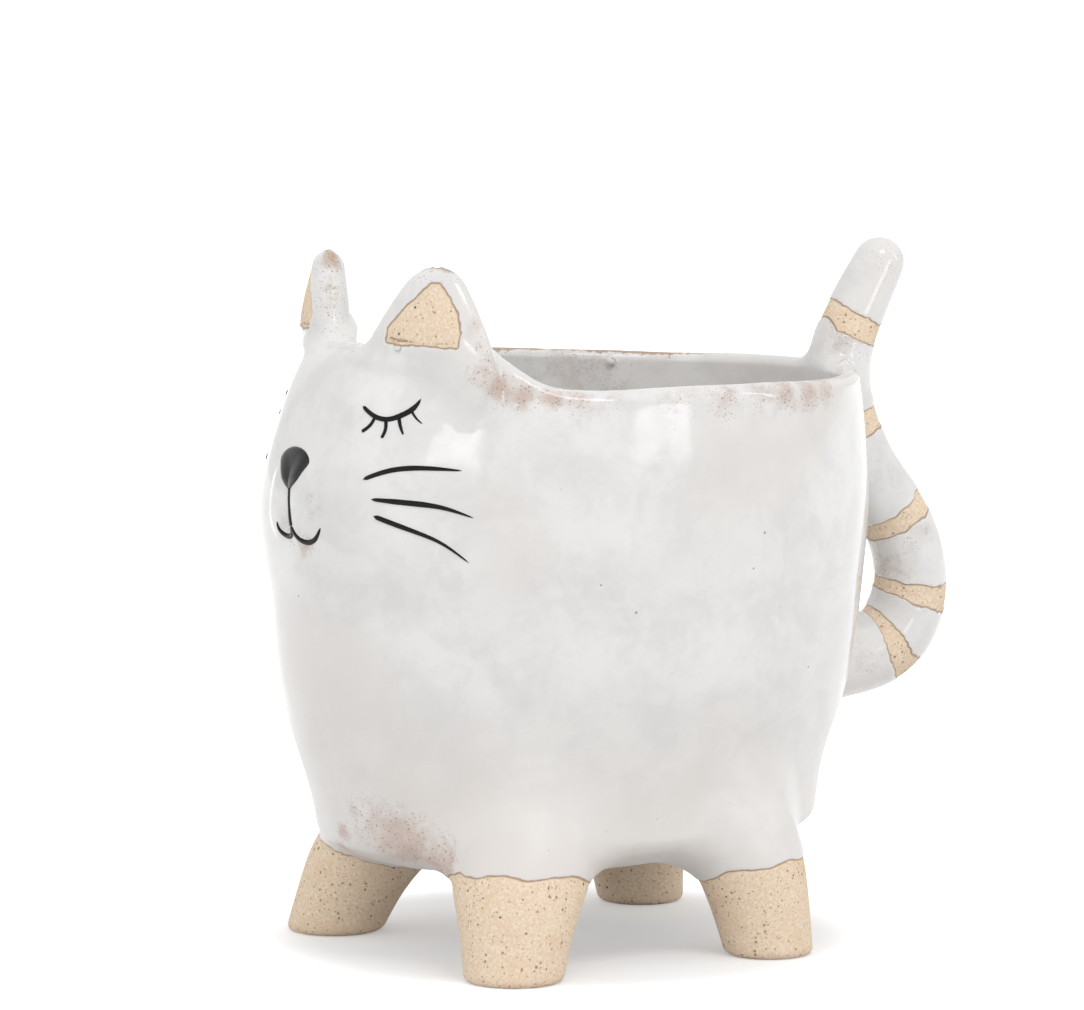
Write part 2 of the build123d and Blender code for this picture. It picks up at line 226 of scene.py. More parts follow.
# Where thin glaze shows a speckled blush on the rim and ears, and where shade is painted as the same darker
# blush on the belly's underside, the front haunch, below the mouth and in the tail's bends: middle, radius
# and strength
BLUSHES_AND_SHADE = [
    (40.5, -45.5, 147.0, 4.0, 0.45), (40.5, -45.5, 152.0, 3.0, 0.60), (42.0, -44.5, 141.5, 4.5, 0.85),
    (43.0, -41.0, 137.5, 4.5, 1.00), (45.5, -36.0, 135.5, 4.0, 0.95), (47.5, -30.0, 134.6, 4.0, 0.80),
    (49.5, -24.0, 134.2, 5.0, 0.55), (52.0, -16.0, 133.3, 6.0, 0.30), (53.5, 0.0, 133.6, 6.0, 0.40),
    (53.0, 12.0, 133.0, 7.0, 0.55), (51.0, 24.0, 133.0, 7.0, 0.45), (48.5, 31.0, 132.8, 5.0, 0.80),
    (46.0, 38.5, 132.8, 5.0, 0.95), (42.0, 46.0, 133.0, 5.0, 0.75), (15.0, -60.0, 34.0, 8.0, 0.60),
    (22.0, -56.0, 30.0, 9.0, 0.95), (30.0, -50.0, 26.0, 8.0, 0.80), (10.0, -62.0, 36.5, 3.0, 0.90),
    (5.0, -61.5, 31.0, 3.0, 0.95), (0.0, -59.5, 26.3, 3.0, 0.90), (0.0, -52.0, 144.0, 10.0, 0.45),
    (22.0, -47.0, 163.0, 5.0, 0.60), (0.0, -75.0, 101.0, 7.0, 0.35), (6.5, -73.0, 99.0, 4.0, 0.75),
    (11.0, -72.0, 109.0, 4.0, 0.35), (0.0, 0.0, 23.0, 30.0, 0.45), (0.0, 82.0, 108.0, 10.0, 0.40),
    (6.0, 92.0, 92.0, 7.0, 0.45), (0.0, 90.0, 84.0, 9.0, 0.50), (4.0, 78.0, 62.0, 9.0, 0.45),
    (4.0, 76.0, 140.0, 8.0, 0.50), (3.0, 86.0, 158.0, 8.0, 0.35), (-40.0, 30.0, 132.0, 22.0, 0.35),
]
# Where the glaze breaks brown over an edge: middle, radius and strength
BREAKS = [
    (-52.0, 0.0, 136.0, 34.0, 2.6), (-40.0, 40.0, 135.0, 26.0, 2.6), (-44.0, -30.0, 137.0, 20.0, 2.0),
    (-22.0, -50.0, 152.0, 18.0, 1.6), (27.0, -48.0, 164.0, 8.0, 1.7), (-26.0, -48.0, 158.0, 14.0, 1.9),
    (10.0, -60.0, 33.0, 5.0, 1.0),
]

# Painted strokes: points along and across one, height of the paint, and the share of a tapering tip
STROKE_STEPS = 28
STROKE_ACROSS = 9
STROKE_RISE = 0.34
STROKE_TIP = 0.06
FULL_STROKE = 0.5
PAINT_LIFT = 0.05
STROKE_SUNK = 0.25
NOSE_TOP = 121.4
NOSE_WIDTH = 14.6
NOSE_HEIGHT = 9.6
NOSE_SIDE_SHARE = 0.42
NOSE_ARC = 1.35
NOSE_CHEEK = (0.5, 0.80)
NOSE_TIP_DROP = 0.6
NOSE_MIDDLE_SHARE = 0.45
NOSE_RINGS = [0.12, 0.3, 0.5, 0.68, 0.82, 0.91, 0.965, 1.0]
NOSE_AROUND = 72
NOSE_RISE = 0.70
NOSE_SUNK = 0.3
EYE_TURNS = {1: 23.2, -1: -26.4}
WHISKER_TURN = 33.0

# Clay within this distance of a glaze line is refined
NEAR = 1.6
# Legs join the pot below the first height, ears above the second, and the rim's lip lies above the third
LEGS_BELOW = 70
EARS_ABOVE = 120
LIP_ABOVE = 60
# Dents of hand work: height, spacing and seed
DENTS = [(0.26, 70, 1), (0.06, 26, 2), (0.008, 9, 3)]
DENTS_INWARD = 0.22
# Ragged glaze lines, as heights, spacings and seeds: round the feet, and round the bands and panels
FOOT_RAGGED = [(0.45, 15, 20), (0.10, 3.5, 21)]
RAGGED = [(0.17, 5.5, 30), (0.12, 1.9, 31)]
PANEL_RAGGED_SHARE = 0.45
# Room round the body for its grid, and the longest edges at a glaze line
SIDE_ROOM = 5
GROUND_ROOM = 3
TOP_ROOM = 4
LINE_EDGES = (0.7, 0.45)
GLAZE_EDGE = 1.1
PATCH_FALL = 1.2
# Edges where the glaze may be thin: how far they face up, or how high they lie, and how they are felt for
CROWN_FACING = (0.55, 0.95)
CROWN_HEIGHTS = (141, 146)
CREST_SIDE = (0.37, 0.21, 0.90)
CREST_REACH = 2.0
# Points settle on a surface by short moves, and painted ones are let down on it from outside
MOVE_LIMIT = 0.6
LEAST_SLOPE = 0.05
SPOT_START = 90.0
SPOT_ROUNDS = 30
SPOT_STEP = 0.9
CUT_MARGIN = 0.02
GRID_REACH = 4


def natural_curve(rows, column, count=600):
    """Smooth curve through a column of a table, as close samples for np.interp."""
    rows = np.array(rows, float)
    x = rows[:, 0]
    y = rows[:, column]
    step = np.diff(x)
    size = len(x)
    system = np.eye(size)
    right = np.zeros(size)
    for row in range(1, size - 1):
        system[row, row - 1:row + 2] = step[row - 1], 2 * (step[row - 1] + step[row]), step[row]
        right[row] = 6 * ((y[row + 1] - y[row]) / step[row] - (y[row] - y[row - 1]) / step[row - 1])
    bend = np.linalg.solve(system, right)
    places = np.linspace(x[0], x[-1], count)
    index = np.clip(np.searchsorted(x, places) - 1, 0, size - 2)
    width = step[index]
    after = (places - x[index]) / width
    before = 1 - after
    values = before * y[index] + after * y[index + 1]
    sag = (before ** 3 - before) * bend[index] + (after ** 3 - after) * bend[index + 1]
    values += sag * width ** 2 / 6
    return places, values


def read(curve, at):
    """Value of a sampled curve."""
    return np.interp(at, curve[0], curve[1])


def ease(low, high, value):
    """0 below low, 1 above high, smooth between."""
    share = np.clip((value - low) / (high - low), 0, 1)
    return share * share * (3 - 2 * share)


def unit(vectors):
    """Each row's direction."""
    return vectors / np.maximum(np.linalg.norm(vectors, axis=1), 1e-9)[:, None]


def waves(points, size, seed, count=10):
    """Smooth random field of about unit height whose bumps are about a size apart."""
    random = np.random.default_rng(SEED * 100 + seed)
    direction = random.normal(size=(count, 3))
    direction /= np.linalg.norm(direction, axis=1)[:, None]
    direction *= (2 * math.pi / size) * random.uniform(0.6, 1.3, size=(count, 1))
    phase = random.uniform(0, 2 * math.pi, size=count)
    total = np.zeros(len(points))
    for vector, start in zip(direction, phase):
        total += np.sin(points @ vector + start)
    return total * math.sqrt(2 / count)


def layered_waves(points, rows, start=0):
    """Waves of several heights, sizes and seeds on top of a start value."""
    return sum((height * waves(points, size, seed) for height, size, seed in rows), start)


def join_round(first, second, radius):
    """Union of two fields with a concave fillet."""
    corner = np.hypot(np.maximum(radius - first, 0), np.maximum(radius - second, 0))
    return np.maximum(radius, np.minimum(first, second)) - corner


def meet_round(first, second, radius):
    """Intersection of two fields with a rounded edge."""
    corner = np.hypot(np.maximum(radius + first, 0), np.maximum(radius + second, 0))
    return np.minimum(-radius, np.maximum(first, second)) + corner


SECTION_LENGTH = natural_curve(SECTION_SHARES, 1)
SECTION_SHIFT = natural_curve(SECTION_SHARES, 2)
BROW_CURVE = natural_curve(BROW_SHARES, 1)
RIM_CURVE = natural_curve(RIM_LINE, 1)
EAR_WIDTH_CURVE = natural_curve(EAR_LINE, 1)
EAR_THICK_CURVE = natural_curve(EAR_LINE, 2)
LEG_GIRTH_CURVE = natural_curve(LEG_SHARES, 1)
LEG_REACH_CURVE = natural_curve(LEG_SHARES, 2)


def distances(line):
    """Distance along a line at each of its points."""
    return np.concatenate([[0], np.cumsum(np.hypot(*np.diff(line, axis=0).T))])


def smooth_line(points, count):
    """Points on a smooth line through given points."""
    line = np.array(points, float)
    rows = np.column_stack([distances(line), line])
    return np.column_stack([natural_curve(rows, column, count)[1] for column in (1, 2)])


def tail_samples():
    """The tail's middle line in even steps: distance along it, place behind the middle, and height."""
    line = smooth_line(TAIL_LINE, TAIL_SAMPLES)
    place = distances(line)
    even = np.linspace(0, place[-1], TAIL_SAMPLES)
    return even, np.interp(even, place, line[:, 0]), np.interp(even, place, line[:, 1])


TAIL_S, TAIL_Y, TAIL_Z = tail_samples()
TAIL_LENGTH = TAIL_S[-1]
TAIL_RADIUS = natural_curve([(TAIL_LENGTH * n / 6, r) for n, r in enumerate(TAIL_RADII)], 1)


def wall_field(points, thinning=0.0, brow=0.0):
    """Distance to the pot's wall, inside it by the thinning, and more at the front where the brow is."""
    x, y, z = points.T
    share = (z - BELLY - 0.5) / RISE
    extra = brow * read(BROW_CURVE, share)
    length = HALF_LENGTH * read(SECTION_LENGTH, share)
    middle = 2 * HALF_LENGTH * read(SECTION_SHIFT, share) + extra / 2
    across = length * WIDTH_RATIO - thinning
    along = length - thinning - extra / 2
    flat = y - middle
    near = np.hypot(x / across, flat / along)
    slope = np.hypot(x / across ** 2, flat / along ** 2)
    return near * (near - 1) / np.maximum(slope, 1e-6)


def wall_normal(points):
    """Level direction out of the wall."""
    return unit(np.column_stack([points[:, 0] / WIDTH_RATIO ** 2, points[:, 1] - WALL_SHIFT]))


def muzzle(points):
    """How far two soft pads stand out above the mouth."""
    x, y, z = points.T
    across = (np.abs(x) - PAD_SIDE) / PAD_SIZE[0]
    up = (z - PAD_LEVEL) / PAD_SIZE[1]
    pad = 1 - ease(*PAD_EDGE, np.hypot(across, np.where(up > 0, up * PAD_TOP_STRETCH, up)))
    foot, low, high, top = VALLEY_LEVELS
    valley = np.exp(-(x / VALLEY_WIDTH) ** 2) * ease(foot, low, z) * (1 - ease(high, top, z))
    return (PAD_RISE * pad - VALLEY_DEPTH * valley) * ease(0, -20, y)


def swell(points):
    """How far the pressed wall stands out from an even oval."""
    total = np.zeros(len(points))
    for x, y, z, wide, tall, height in SWELLS:
        level = np.hypot(points[:, 0] - x, points[:, 1] - y) / wide
        total += height * np.exp(-level ** 2 - ((points[:, 2] - z) / tall) ** 2)
    return total


def rim_field(points):
    """Distance above the rim, which is uneven from front to back and from side to side."""
    x, y, z = points.T
    across, back, front = FAR_RIM_PLACES
    far = ease(*across, x) * ease(*back, y) * ease(*front, y)
    dip = ease(*BROW_DIP_SIDE, x) * np.exp(-((y - BROW_DIP_BACK) / BROW_DIP_WIDTH) ** 2)
    return (z - RIM - read(RIM_CURVE, y) - FAR_RIM_RISE * far + FAR_BROW_DIP * dip) * RIM_TAPER


def leg_line(name):
    """Middle of one leg's sole, and the level direction in which the leg leans."""
    sole = (MOUNTS["sole_" + name] - MIDDLE)[:2]
    return sole, -sole / np.hypot(*sole)


def leg_field(points, name):
    """One leg that leans in, with its level direction outwards."""
    lean_share = LEGS[name][0]
    sole, inward = leg_line(name)
    girth = SOLE_RADIUS * (REAR_SOLE_SHARE if name.startswith("rear") else 1)
    share = np.clip(points[:, 2] / LEG_TOP, 0, LEG_SHARES[-1][0])
    middle = sole + np.outer(read(LEG_REACH_CURVE, share) * LEG_LEAN * lean_share, inward)
    radial = points[:, :2] - middle
    away = np.linalg.norm(radial, axis=1)
    side = away - girth * read(LEG_GIRTH_CURVE, share)
    field = meet_round(side * LEG_TAPER, -points[:, 2], SOLE_EDGE)
    field = meet_round(field, points[:, 2] - LEG_TOP * LEG_SHARES[-1][0], LEG_DOME)
    return field, unit(radial), away


def ear_place(points, side):
    """Across, towards the front, and up in one ear's own directions."""
    up = points[:, 2]
    rise = (up - EAR_ROOT) / (EAR_HIGH[2] - EAR_ROOT)
    x = points[:, 0] - side * EAR_SIDE
    y = points[:, 1] + EAR_BACK - EAR_LEAN * rise
    turn = EAR_TURNS[side]
    across = x * math.cos(turn) + y * math.sin(turn) - side * EAR_SPLAY * (rise - 0.4)
    return across, x * math.sin(turn) - y * math.cos(turn), up


def ear_field(points, side):
    """One ear, a flat cone with a rounded tip, with its level direction outwards."""
    across, front, up = ear_place(points, side)
    wide = read(EAR_WIDTH_CURVE, up)
    thick = read(EAR_THICK_CURVE, up)
    near = np.hypot(across / wide, front / thick)
    slope = np.hypot(across / wide ** 2, front / thick ** 2)
    cone = EAR_TAPER * near * (near - 1) / np.maximum(slope, 1e-6)
    field = meet_round(cone, up - EAR_HIGH[2], EAR_TIP_RADIUS)
    field = meet_round(field, EAR_ROOT - EAR_FOOT - up, EAR_FOOT_EDGE)
    turn = EAR_TURNS[side]
    level = unit(np.column_stack([across / wide ** 2, front / thick ** 2]))
    out_x = level[:, 0] * math.cos(turn) + level[:, 1] * math.sin(turn)
    out_y = level[:, 0] * math.sin(turn) - level[:, 1] * math.cos(turn)
    return field, np.column_stack([out_x, out_y])


def tail_point(place):
    """Point of the tail's middle line at a distance along it."""
    return np.array([np.interp(place, TAIL_S, line) for line in (TAIL_Y, TAIL_Z)])


def tail_field(points):
    """Distance to the tail, and the place along it of the nearest point."""
    field = np.full(len(points), TAIL_FAR)
    along = np.zeros(len(points))
    side, back, low = TAIL_NEAR
    near = (points[:, 1] > back) & (points[:, 2] > low) & (np.abs(points[:, 0]) < side)
    index = np.nonzero(near)[0]
    coarse = slice(0, None, 20)
    for start in range(0, len(index), TAIL_BATCH):
        some = index[start:start + TAIL_BATCH]
        y, z = points[some, 1], points[some, 2]
        far = (y[:, None] - TAIL_Y[coarse]) ** 2 + (z[:, None] - TAIL_Z[coarse]) ** 2
        place = TAIL_S[coarse][far.argmin(axis=1)]
        span = 0.5
        for _ in range(3):
            here, after, before = (tail_point(place + step) for step in (0, span, -span))
            speed = (after - before) / (2 * span)
            bend = (after + before - 2 * here) / span ** 2
            gap = np.array([y, z]) - here
            rate = (speed ** 2).sum(axis=0) - (gap * bend).sum(axis=0)
            move = (gap * speed).sum(axis=0) / np.maximum(rate, 0.3)
            place = np.clip(place + np.clip(move, -3, 3), 0, TAIL_LENGTH)
        gap = np.hypot(*(np.array([y, z]) - tail_point(place)))
        field[some] = np.hypot(gap, points[some, 0]) - read(TAIL_RADIUS, place)
        along[some] = place
    return field, along


def join_facing(joined, piece, out, level, walled, blend, flush):
    """Join a piece to the wall, with a smaller fillet where both look the same way."""
    facing = np.clip((out * level).sum(axis=1), 0, 1) * walled
    return join_round(joined, piece, blend * (1 - flush * facing))


def body_field(points):
    """The whole fired clay body: pot, legs, ears and tail, with soft joints and the dents of hand work."""
    x, y, z = points.T
    wall = wall_field(points) - muzzle(points) - swell(points)
    crease = (BELLY_CREASE - z) * math.cos(BELLY_SLOPE) + wall * math.sin(BELLY_SLOPE)
    outer = meet_round(wall, crease, CREASE_RADIUS)
    outer = meet_round(outer, BELLY - z, BELLY_EDGE)

    low = z < LEGS_BELOW
    if low.any():
        part = points[low]
        joined = outer[low]
        level = wall_normal(part)
        walled = ease(BELLY, BELLY + 12, part[:, 2])
        for name in LEGS:
            leg, out = leg_field(part, name)[:2]
            joined = join_facing(joined, leg, out, level, walled, HAUNCH_BLEND, HAUNCH_FLUSH)
        outer[low] = joined

    brow = read(BROW_CURVE, (z - BELLY) / RISE) * ease(*BROW_FRONT, y)
    cavity = wall_field(points, WALL, BROW_WALL - WALL)
    cavity = meet_round(cavity, FLOOR - z, FLOOR_CORNER)
    lip = LIP_RADIUS + (BROW_LIP_RADIUS - LIP_RADIUS) * brow
    rim = rim_field(points)
    shell = meet_round(outer, rim, lip)
    shell = meet_round(shell, -cavity, np.where(z > LIP_ABOVE, lip, CAVITY_EDGE))
    drain = np.hypot(x, y) - DRAIN_RADIUS
    shell = np.where(z < FLOOR + 6.5, meet_round(shell, -drain, DRAIN_EDGE), shell)

    high = z > EARS_ABOVE
    if high.any():
        part = points[high]
        joined = shell[high]
        level = wall_normal(part)
        walled = ease(-1, -5, rim[high])
        for side in (1, -1):
            ear, out = ear_field(part, side)
            joined = join_facing(joined, ear, out, level, walled, EAR_BLEND, EAR_FLUSH)
        shell[high] = joined

    tail = tail_field(points)[0]
    close = tail < TAIL_REACH
    trimmed = meet_round(tail[close], -cavity[close], TAIL_TRIM)
    shell[close] = join_round(shell[close], trimmed, TAIL_BLEND)
    shell[~close] = np.minimum(shell[~close], tail[~close])

    for *bead, radius in BEADS:
        gap = np.linalg.norm(points - bead, axis=1) - radius
        shell = np.where(gap < 4, join_round(shell, gap, BEAD_BLEND), shell)
    return shell


def body_dents(points):
    """The unevenness of hand work, in millimetres."""
    deep = layered_waves(points, DENTS)
    return deep * ease(6, 20, points[:, 2]) + DENTS_INWARD * ease(20, 40, points[:, 2])


def clay_field(points):
    """The fired body with its dents."""
    return body_field(points) + body_dents(points)


def panel_gap(across, up):
    """Distance to the ear panel's outline, in the ear's own directions."""
    corners = np.array(PANEL_OUTLINE)
    spot = np.column_stack([across, up])
    nearest = np.full(len(spot), 1e9)
    inside = np.ones(len(spot), bool)
    for start, end in zip(corners, np.roll(corners, -1, axis=0)):
        edge = end - start
        share = np.clip(((spot - start) @ edge) / (edge @ edge), 0, 1)
        nearest = np.minimum(nearest, np.linalg.norm(spot - start - share[:, None] * edge, axis=1))
        inside &= (edge[0] * (spot[:, 1] - start[1]) - edge[1] * (spot[:, 0] - start[0])) > 0
    return np.where(inside, -nearest, nearest) - PANEL_CORNER


def foot_gap(points, name):
    """Distance above one foot's glaze line, and far from the foot a large one."""
    lean_share, height, tilt = LEGS[name]
    sole, inward = leg_line(name)
    reach = read(LEG_REACH_CURVE, height / LEG_TOP) * LEG_LEAN * lean_share
    middle = sole + inward * reach
    outward = (points[:, :2] - middle) @ -inward
    slope = math.tan(math.radians(tilt))
    gap = (points[:, 2] - height - slope * outward) * math.cos(math.radians(tilt))
    gap = layered_waves(points, FOOT_RAGGED, gap)
    away = leg_field(points, name)[2]
    girth = SOLE_RADIUS * read(LEG_GIRTH_CURVE, height / LEG_TOP) + LEG_MARGIN
    return np.maximum(gap, away - girth)


def zone_gaps(points):
    """Distance to each bare clay zone, as a table of names, negative inside."""
    ragged = layered_waves(points, RAGGED)
    gaps = {}
    for name in LEGS:
        gaps["leg_" + name] = foot_gap(points, name)
    for side, hand in ((1, "left"), (-1, "right")):
        across, front, up = ear_place(points, side)
        gap = panel_gap(across * side, up) + PANEL_RAGGED_SHARE * ragged
        gaps["ear_panel_" + hand] = np.maximum(gap, -front)
    tail, along = tail_field(points)
    wall = wall_field(points)
    for number, (place, width, tilt) in enumerate(BANDS, start=1):
        middle = place * TAIL_LENGTH + tilt * points[:, 0] / 10
        gap = np.abs(along - middle) - width / 2 + ragged
        gap = np.maximum(gap, tail - 3)
        gaps["tail_band_" + str(number)] = np.maximum(gap, tail - wall)
    return gaps


def zone_gap(points):
    """Distance to the nearest bare clay, cut off at a few millimetres."""
    return np.clip(np.min(list(zone_gaps(points).values()), axis=0), -8, 8)


def gradient(field, points, step=0.06):
    """Direction in which a field grows, by small steps each way."""
    slopes = []
    for axis in np.eye(3) * step:
        slopes.append((field(points + axis) - field(points - axis)) / (2 * step))
    return np.column_stack(slopes)


def normals_of(field, points):
    """Unit normals of a field."""
    return unit(gradient(field, points))


def settle(field, points, rounds=3):
    """Move points straight onto a field's surface."""
    for _ in range(rounds):
        slope = gradient(field, points)
        move = field(points) / np.maximum((slope ** 2).sum(axis=1), LEAST_SLOPE)
        points = points - slope * np.clip(move, -MOVE_LIMIT, MOVE_LIMIT)[:, None]
    return points


def polygonise(field, low, high, cell):
    """Triangles of a field's surface in a box, from a grid of cells."""
    counts = np.ceil((np.array(high) - low) / cell).astype(int) + 1
    axes = [low[i] + cell * np.arange(counts[i]) for i in range(3)]
    values = np.empty(counts, np.float32)
    for index, x in enumerate(axes[0]):
        y, z = np.meshgrid(axes[1], axes[2], indexing="ij")
        layer = np.column_stack([np.full(y.size, x), y.ravel(), z.ravel()])
        values[index] = field(layer).reshape(y.shape)
    grid = openvdb.FloatGrid(GRID_REACH * cell)
    grid.copyFromArray(np.clip(values, -GRID_REACH * cell, GRID_REACH * cell))
    points, quads = grid.convertToQuads(isovalue=0.0)
    points = points.astype(float) * cell + low
    first = quads[:, [0, 1, 2]]
    second = quads[:, [0, 2, 3]]
    this, other = (np.linalg.norm(points[quads[:, n]] - points[quads[:, n + 2]], axis=1) for n in (0, 1))
    swap = other < this
    first[swap] = quads[swap][:, [0, 1, 3]]
    second[swap] = quads[swap][:, [1, 2, 3]]
    return points, np.concatenate([first, second]).astype(int)


def edges_of(triangles):
    """Each edge once, and for each triangle the numbers of its sides 01, 12 and 20."""
    sides = triangles[:, [0, 1, 1, 2, 2, 0]].reshape(-1, 2)
    edges, inverse = np.unique(np.sort(sides, axis=1), axis=0, return_inverse=True)
    return edges, inverse.reshape(-1, 3)


def relax(points, triangles, rounds=2):
    """Draw each point towards the middle of its neighbours."""
    edges = edges_of(triangles)[0]
    for _ in range(rounds):
        total = np.zeros_like(points)
        count = np.zeros(len(points))
        for here, there in ((0, 1), (1, 0)):
            np.add.at(total, edges[:, here], points[edges[:, there]])
            np.add.at(count, edges[:, here], 1)
        points = 0.5 * points + 0.5 * total / np.maximum(count, 1)[:, None]
    return points


def split(triangles, sides, fresh):
    """Divide triangles at the new points on their sides, where fresh gives a point's number or -1."""
    new = fresh[sides]
    marks = (new >= 0).sum(axis=1)
    result = [triangles[marks == 0]]
    for count in (1, 2):
        some = np.nonzero(marks == count)[0]
        odd = (new[some] >= 0) == (count == 1)
        order = (odd.argmax(axis=1)[:, None] + np.arange(3)) % 3
        a, b, c = np.take_along_axis(triangles[some], order, axis=1).T
        first, m, n = np.take_along_axis(new[some], order, axis=1).T
        rows = [(a, first, c), (first, b, c)] if count == 1 else [(m, c, n), (a, b, m), (a, m, n)]
        result += [np.column_stack(row) for row in rows]
    a, b, c = triangles[marks == 3].T
    m, n, o = new[marks == 3].T
    result += [np.column_stack(row) for row in ((a, m, o), (m, b, n), (o, n, c), (m, n, o))]
    return np.concatenate(result)


def divide(points, triangles, sides, count, marked, middle):
    """Put new points on the marked edges, and divide the triangles there."""
    fresh = np.full(count, -1)
    fresh[marked] = len(points) + np.arange(len(marked))
    return np.concatenate([points, middle]), split(triangles, sides, fresh)


def refine(points, triangles, gap, longest):
    """Halve the edges near a glaze line until they are short, then settle the new points."""
    edges, sides = edges_of(triangles)
    ends = points[edges]
    long = np.linalg.norm(ends[:, 0] - ends[:, 1], axis=1) > longest
    near = np.abs(gap[edges]).min(axis=1) < NEAR
    near |= gap[edges[:, 0]] * gap[edges[:, 1]] < 0
    marked = np.nonzero(long & near)[0]
    middle = settle(clay_field, ends[marked].mean(axis=1), 2)
    points, triangles = divide(points, triangles, sides, len(edges), marked, middle)
    return points, triangles, np.concatenate([gap, zone_gap(middle)])


def cut(points, triangles, gap):
    """Divide triangles along the glaze lines, where the gap is zero."""
    gap = np.where(np.abs(gap) < 1e-6, 1e-6, gap)
    edges, sides = edges_of(triangles)
    ends = gap[edges]
    marked = np.nonzero(ends[:, 0] * ends[:, 1] < 0)[0]
    share = ends[marked, 0] / (ends[marked, 0] - ends[marked, 1])
    share = np.clip(share, CUT_MARGIN, 1 - CUT_MARGIN)[:, None]
    middle = points[edges[marked, 0]] * (1 - share) + points[edges[marked, 1]] * share
    points, triangles = divide(points, triangles, sides, len(edges), marked, middle)
    return points, triangles, np.concatenate([gap, np.zeros(len(marked))])


def rim_edges(triangles):
    """Directed edges of a set of triangles that no other triangle in it shares."""
    sides = triangles[:, [0, 1, 1, 2, 2, 0]].reshape(-1, 2)
    size = triangles.max() + 1
    keys = sides[:, 0] * size + sides[:, 1]
    back = sides[:, 1] * size + sides[:, 0]
    return sides[~np.isin(keys, back)]


def compact(triangles):
    """Numbers of the points that the triangles use, and the triangles by place among them."""
    used, inverse = np.unique(triangles, return_inverse=True)
    return used, inverse.reshape(-1, 3)


def build_body(cell):
    """Surface of the whole body, divided at the glaze lines, with the zone of each triangle."""
    low = np.array([-HALF_WIDTH - SIDE_ROOM, POT_LOW[1] - MIDDLE[1] - SIDE_ROOM, -GROUND_ROOM])
    back, top = CAD_BOX[1][1] / MM - MIDDLE[1], CAD_BOX[1][2] / MM
    high = np.array([HALF_WIDTH + SIDE_ROOM, back + SIDE_ROOM, top + TOP_ROOM])
    points, triangles = polygonise(clay_field, low, high, cell)
    points = relax(points, triangles)
    points = settle(clay_field, points)
    gap = zone_gap(points)
    for longest in LINE_EDGES:
        points, triangles, gap = refine(points, triangles, gap, longest)
    points, triangles, gap = cut(points, triangles, gap)
    lead = np.abs(gap[triangles]).argmax(axis=1)
    bare = gap[triangles[np.arange(len(triangles)), lead]] < 0
    centre = points[triangles].mean(axis=1)
    names = list(zone_gaps(centre[:1]))
    zone = np.full(len(triangles), -1)
    zone[bare] = np.argmin(list(zone_gaps(centre[bare]).values()), axis=0)
    return points, triangles, gap, zone, names


def glaze_rise(gap, thickness):
    """Glaze stands on the clay with a rounded edge at each glaze line."""
    reach = np.clip(gap / GLAZE_EDGE, 0, 1)
    return thickness * np.sqrt(1 - (1 - reach) ** 2)


def to_world(points):
    """Millimetres round the pot's middle to metres in the frame."""
    return (points + MIDDLE) * MM


def add_piece(name, points, faces, material, replaces, normals=None, attributes=None):
    """Make a mesh object that rides on the fired body and stands for solids of the frame."""
    mesh = bpy.data.meshes.new(name)
    mesh.from_pydata(to_world(points).tolist(), [], [list(face) for face in faces])
    mesh.update()
    mesh.shade_smooth()
    for key, values in (attributes or {}).items():
        layer = mesh.attributes.new(key, "FLOAT", "POINT")
        layer.data.foreach_set("value", np.asarray(values, np.float32))
    if normals is not None:
        mesh.normals_split_custom_set(normals.tolist())
    piece = bpy.data.objects.new(name, mesh)
    bpy.context.scene.collection.objects.link(piece)
    mesh.materials.append(material)
    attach(piece, "root")
    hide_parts(*replaces)
    return piece


BODY = {}


def shared_body():
    """The body's surface, worked out once for all the pieces that are cut from it."""
    if not BODY:
        cell = bpy.context.scene.planter_sizes.cell / MM
        BODY["parts"] = build_body(cell * (1))
    return BODY["parts"]


def spread(points, patches):
    """Soft patches: each has a middle, a radius and a strength."""
    total = np.zeros(len(points))
    for x, y, z, radius, strength in patches:
        away = np.linalg.norm(points - (x, y, z), axis=1) / radius
        total = np.maximum(total, strength * np.exp(-away ** 2 * PATCH_FALL))
    return total


def crest(points, normals):
    """How sharply the surface turns away on both sides of each point, for the thin glaze on edges."""
    side = unit(np.cross(normals, CREST_SIDE))
    other = np.cross(normals, side)
    bends = []
    for direction in (side, other, side + other, side - other):
        step = unit(direction) * CREST_REACH
        bends.append((clay_field(points + step) + clay_field(points - step)) / (2 * CREST_REACH))
    return np.max(bends, axis=0)


def pocket_depth(name):
    """Depth of the pocket that a panel or band lies in."""
    return PANEL_DEPTH if name.startswith("ear") else BAND_DEPTH


